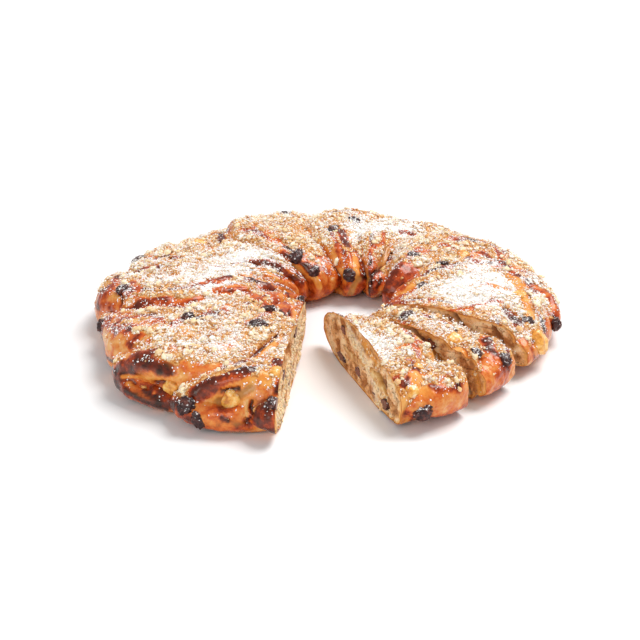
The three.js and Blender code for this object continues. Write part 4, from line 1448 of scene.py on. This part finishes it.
def scattered_toppings(pieces):
    """Streusel in three sizes where the crust is covered, and specks of sugar wherever it faces up."""
    cells = surface_cells(pieces)
    rng = np.random.default_rng(SEED)
    for name, kind, count, radius, patchy in STREUSEL:
        heaps = np.clip(1 + patchy * patches(cells["middle"], "streusel heaps"), 0.05, 2)
        weight = cells["cover"] ** 1.5 * heaps + STRAY_CRUMBS * (1 - cells["cover"])
        weight *= smooth(0.05, 0.6, cells["normal"][:, 2])
        weight *= 1 - 0.45 * smooth(0.7, 1.0, cells["sugar"])
        spots, normals, pick = scatter(cells, weight, count, radius[1], rng)
        sizes = random_sizes(rng, len(spots), radius, 1.8)
        toast = 0.45 * cells["brown"][pick] + patches(spots, "toast")
        masks = {
            "tone": np.clip(CRUMB_TONE + TONE_SPREAD * (rng.random(len(spots)) - 0.5) - toast, 0, 1),
            "sugar": np.clip(cells["sugar"][pick] * rng.uniform(*CRUMB_SUGAR, len(spots)), 0, 1),
        }
        scattered_piece(name, kind, spots, normals, sizes, masks, rng)
    weight = (cells["sugar"] ** 1.5 + STRAY_SPECKS) * smooth(0.05, 0.65, cells["normal"][:, 2])
    spots, normals, pick = scatter(cells, weight, SUGAR_SPECKS, SUGAR_RADIUS[1], rng)
    sizes = random_sizes(rng, len(spots), SUGAR_RADIUS, 2)
    spots = spots + normals * (cells["cover"][pick] * rng.uniform(*SPECK_LIFT, len(spots)))[:, None]
    spots[:, 2] = np.minimum(spots[:, 2], HIGHEST - 1.4 * SUGAR_RADIUS[1])
    scattered_piece("sugar_specks", 8, spots, normals, sizes, {}, rng, sugar=True)


def filling_crumbs(pieces):
    """Pale crumbs of filling that cling along the seams of the cut faces."""
    ends = [end for *_, both in pieces for end in both]
    cells = surface_cells(ends)
    cells["normal"] = np.concatenate([
        np.broadcast_to(way, ((len(inner) - 1) * inner.shape[1], 3)) for inner, _, way in ends])
    rng = np.random.default_rng(SEED + 3)
    weight = cells["pale"] ** 2 + 0.25 * cells["amber"] ** 3 + STRAY_FILLING
    weight *= smooth(1.0, 3.0, cells["rind"])
    spots, normals, _ = scatter(cells, weight, FILLING_CRUMBS, 0.0, rng, cuts=())
    sizes = random_sizes(rng, len(spots), FILLING_CRUMB_RADIUS, 2)
    masks = {"tone": rng.uniform(*FILLING_TONE, len(spots)), "sugar": np.full(len(spots), FILLING_SUGAR)}
    scattered_piece("filling_crumbs", 20, spots, normals, sizes, masks, rng)


# Raisins and apple pieces


def ball_grid(columns, rows):
    """Directions of a latitude and longitude grid, then those of its two poles."""
    turn = np.linspace(0, 2 * np.pi, columns, endpoint=False)[:, None]
    tilt = np.linspace(-np.pi / 2, np.pi / 2, rows + 2)[1:-1][None, :]
    ways = np.stack(np.broadcast_arrays(
        np.cos(tilt) * np.cos(turn), np.cos(tilt) * np.sin(turn), np.sin(tilt)), axis=-1)
    return np.concatenate([ways.reshape(-1, 3), [[0.0, 0.0, -1.0], [0.0, 0.0, 1.0]]])


def ball_faces(columns, rows):
    """Quads between the grid's rings and triangles to its two poles, facing out."""
    index = np.arange(columns * rows).reshape(columns, rows)
    ahead = np.roll(index, -1, 0)
    quads = np.stack([index[:, :-1], ahead[:, :-1], ahead[:, 1:], index[:, 1:]], axis=-1).reshape(-1, 4)
    low = np.stack([ahead[:, 0], index[:, 0], np.full(columns, columns * rows)], axis=-1)
    high = np.stack([index[:, -1], ahead[:, -1], np.full(columns, columns * rows + 1)], axis=-1)
    return [quads, np.concatenate([low, high])]


def own_axes(corners):
    """Middle, axes as rows and half sizes of a node, by the main directions of its vertices."""
    middle = corners.mean(axis=0)
    _, _, axes = np.linalg.svd(corners - middle)
    if np.linalg.det(axes) < 0:
        axes[2] *= -1
    reach = (corners - middle) @ axes.T
    low, high = reach.min(axis=0), reach.max(axis=0)
    return middle + ((high + low) / 2) @ axes, axes, (high - low) / 2


def cut_through(corners):
    """The cut that slices a node flat, or None: one whose plane holds several of its vertices."""
    for cut in CUTS:
        touching = np.abs(off_cut(corners, cut)) < CUT_TOUCH
        if touching.sum() >= CUT_VERTICES and along_cut(corners, cut).min() > 0:
            return cut
    return None


def topping_points(name, form, grid):
    """Vertices of a topping in its node's own axes, pressed flat on a cut that slices it; and which are flat.

    A sliced one is the outer part of a ball that is 1.5 times as deep, whose middle lies behind the cut.
    """
    corners = node_points(name)
    cut = cut_through(corners)
    ways = ball_grid(*grid)
    if cut is None:
        middle, axes, half = own_axes(corners)
        return middle + (form(ways) * half) @ axes, np.zeros(len(ways))
    axes = np.stack([*cut_frame(cut), [0.0, 0.0, 1.0]])
    reach = (corners - CUT_PIVOT) @ axes.T
    low, high = reach.min(axis=0), reach.max(axis=0)
    inward = 1.0 if abs(low[1]) < CUT_TOUCH else -1.0
    centre, half = (low + high) / 2, (high - low) / 2
    depth = high[1] - low[1]
    centre[1] = inward * 0.25 * depth
    half[1] = 0.75 * depth
    local = centre + form(ways) * half
    beyond = local[:, 1] * inward < -CUT_PROUD
    dome = CUT_PROUD * (0.7 + 0.6 * soft_noise(ways, 0.4, SEED + 60))
    local[:, 1] = np.where(beyond, -inward * dome, local[:, 1])
    return CUT_PIVOT + local @ axes, beyond.astype(float)


def raisin_form(ways, seed):
    """A shrivelled ball: its radius drops in narrow valleys where noise crosses its middle value."""
    valley = 1 - smooth(0.0, 0.15, np.abs(rich_noise(ways, 0.55, seed) - 0.5))
    broad = 0.34 * (soft_noise(ways, 0.9, seed + 7) - 0.5)
    return ways * (1.04 + broad - 0.30 * valley)[:, None]


def apple_form(ways, seed):
    """A cooked, softened cube: a ball pushed a little to the corners, with lumps, dents and a torn skin."""
    cube = ways / (np.abs(ways) ** 3.2).sum(axis=1, keepdims=True) ** (1 / 3.2)
    waves = 1 + 0.42 * (rich_noise(ways, 0.7, seed) - 0.5) + 0.24 * (rich_noise(ways, 0.32, seed + 3) - 0.5)
    return cube * 0.95 * waves[:, None]


def make_toppings():
    """Every raisin and apple piece as its own mesh in its node's place."""
    for kind, ending, form, first_seed, grid, material in (
        ("raisin", "_fruit", raisin_form, SEED + 100, RAISIN_GRID, raisin_material()),
        ("apple", "_chunk", apple_form, SEED + 500, APPLE_GRID, apple_material()),
    ):
        for number, name in enumerate(topping_names(kind)):
            own_form = functools.partial(form, seed=first_seed + 9 * number)
            points, flat = topping_points(name, own_form, grid)
            points[:, 2] = np.maximum(points[:, 2], 0.0)
            masks = {"flesh": flat, "sugar": RAISIN_SUGAR * (1 - flat)} if kind == "raisin" else {}
            piece = build_mesh(name + ending, points, ball_faces(*grid), masks, [material])
            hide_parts(name)


# Camera, light and floor


def aim(thing, place, target):
    """Stands a camera or lamp at a place and points it at a target, both in metres."""
    thing.location = place
    thing.rotation_euler = (Vector(target) - Vector(place)).to_track_quat("-Z", "Y").to_euler()


def make_camera():
    """A long lens at the photograph's angle, aimed so that the ring's middle falls on its pixel."""
    e = np.radians(VIEW_ELEVATION)
    back = np.array([0.0, -np.cos(e), np.sin(e)])
    right = np.array([1.0, 0.0, 0.0])
    up = np.array([0.0, np.sin(e), np.cos(e)])
    off_x = TARGET_PIXEL[0] - IMAGE_SIZE / 2
    off_y = TARGET_PIXEL[1] - IMAGE_SIZE / 2
    target = VIEW_TARGET + VIEW_DISTANCE / PIXELS_PER_RADIAN * (up * off_y - right * off_x)
    data = bpy.data.cameras.new("camera")
    data.sensor_width = SENSOR
    data.lens = SENSOR * PIXELS_PER_RADIAN / IMAGE_SIZE
    data.clip_start = 0.01
    camera = add_object("camera", data)
    aim(camera, (VIEW_TARGET + VIEW_DISTANCE * back) * MM, target * MM)
    bpy.context.scene.camera = camera


def camera_ray(tree):
    """1 for what the camera itself sees, 0 for light that bounces."""
    return add_node(tree, "ShaderNodeLightPath").outputs["Is Camera Ray"]


def make_stage():
    """A white table under soft studio light that comes mostly from the right and behind."""
    reach = TABLE_REACH
    corners = [(-reach, -reach, 0), (reach, -reach, 0), (reach, reach, 0), (-reach, reach, 0)]
    mesh = bpy.data.meshes.new("table")
    mesh.from_pydata(corners, [], [(0, 1, 2, 3)])
    material, tree, place = new_material("white table")
    away = add_node(tree, "ShaderNodeVectorMath", {0: place}, operation="LENGTH").outputs["Value"]
    fade = times(tree, span(tree, away, *TABLE_FADE), camera_ray(tree))
    shade(tree, {"Base Color": TABLE_TONE, "Roughness": 0.6, "Emission Strength": fade})
    mesh.materials.append(material)
    floor = add_object("table", mesh)
    world = bpy.data.worlds.new("studio")
    world.use_nodes = True
    tree = world.node_tree
    strength = span(tree, camera_ray(tree), 0.0, 1.0, WORLD_LIGHT, 1.0)
    set_inputs(tree, tree.nodes["Background"], {"Color": (1.0, 1.0, 1.0), "Strength": strength})
    bpy.context.scene.world = world
    for name, stand, size, power in LAMPS:
        data = bpy.data.lights.new(name, "AREA")
        data.size = size
        data.energy = power
        aim(add_object(name, data), stand, LAMP_TARGET)
    bpy.context.scene.view_settings.view_transform = "Standard"


loaf = [loaf_piece(name) for name in PIECES]
for name in PIECES:
    filling_piece(name)
make_toppings()
scattered_toppings(loaf)
filling_crumbs(loaf)
make_camera()
make_stage()
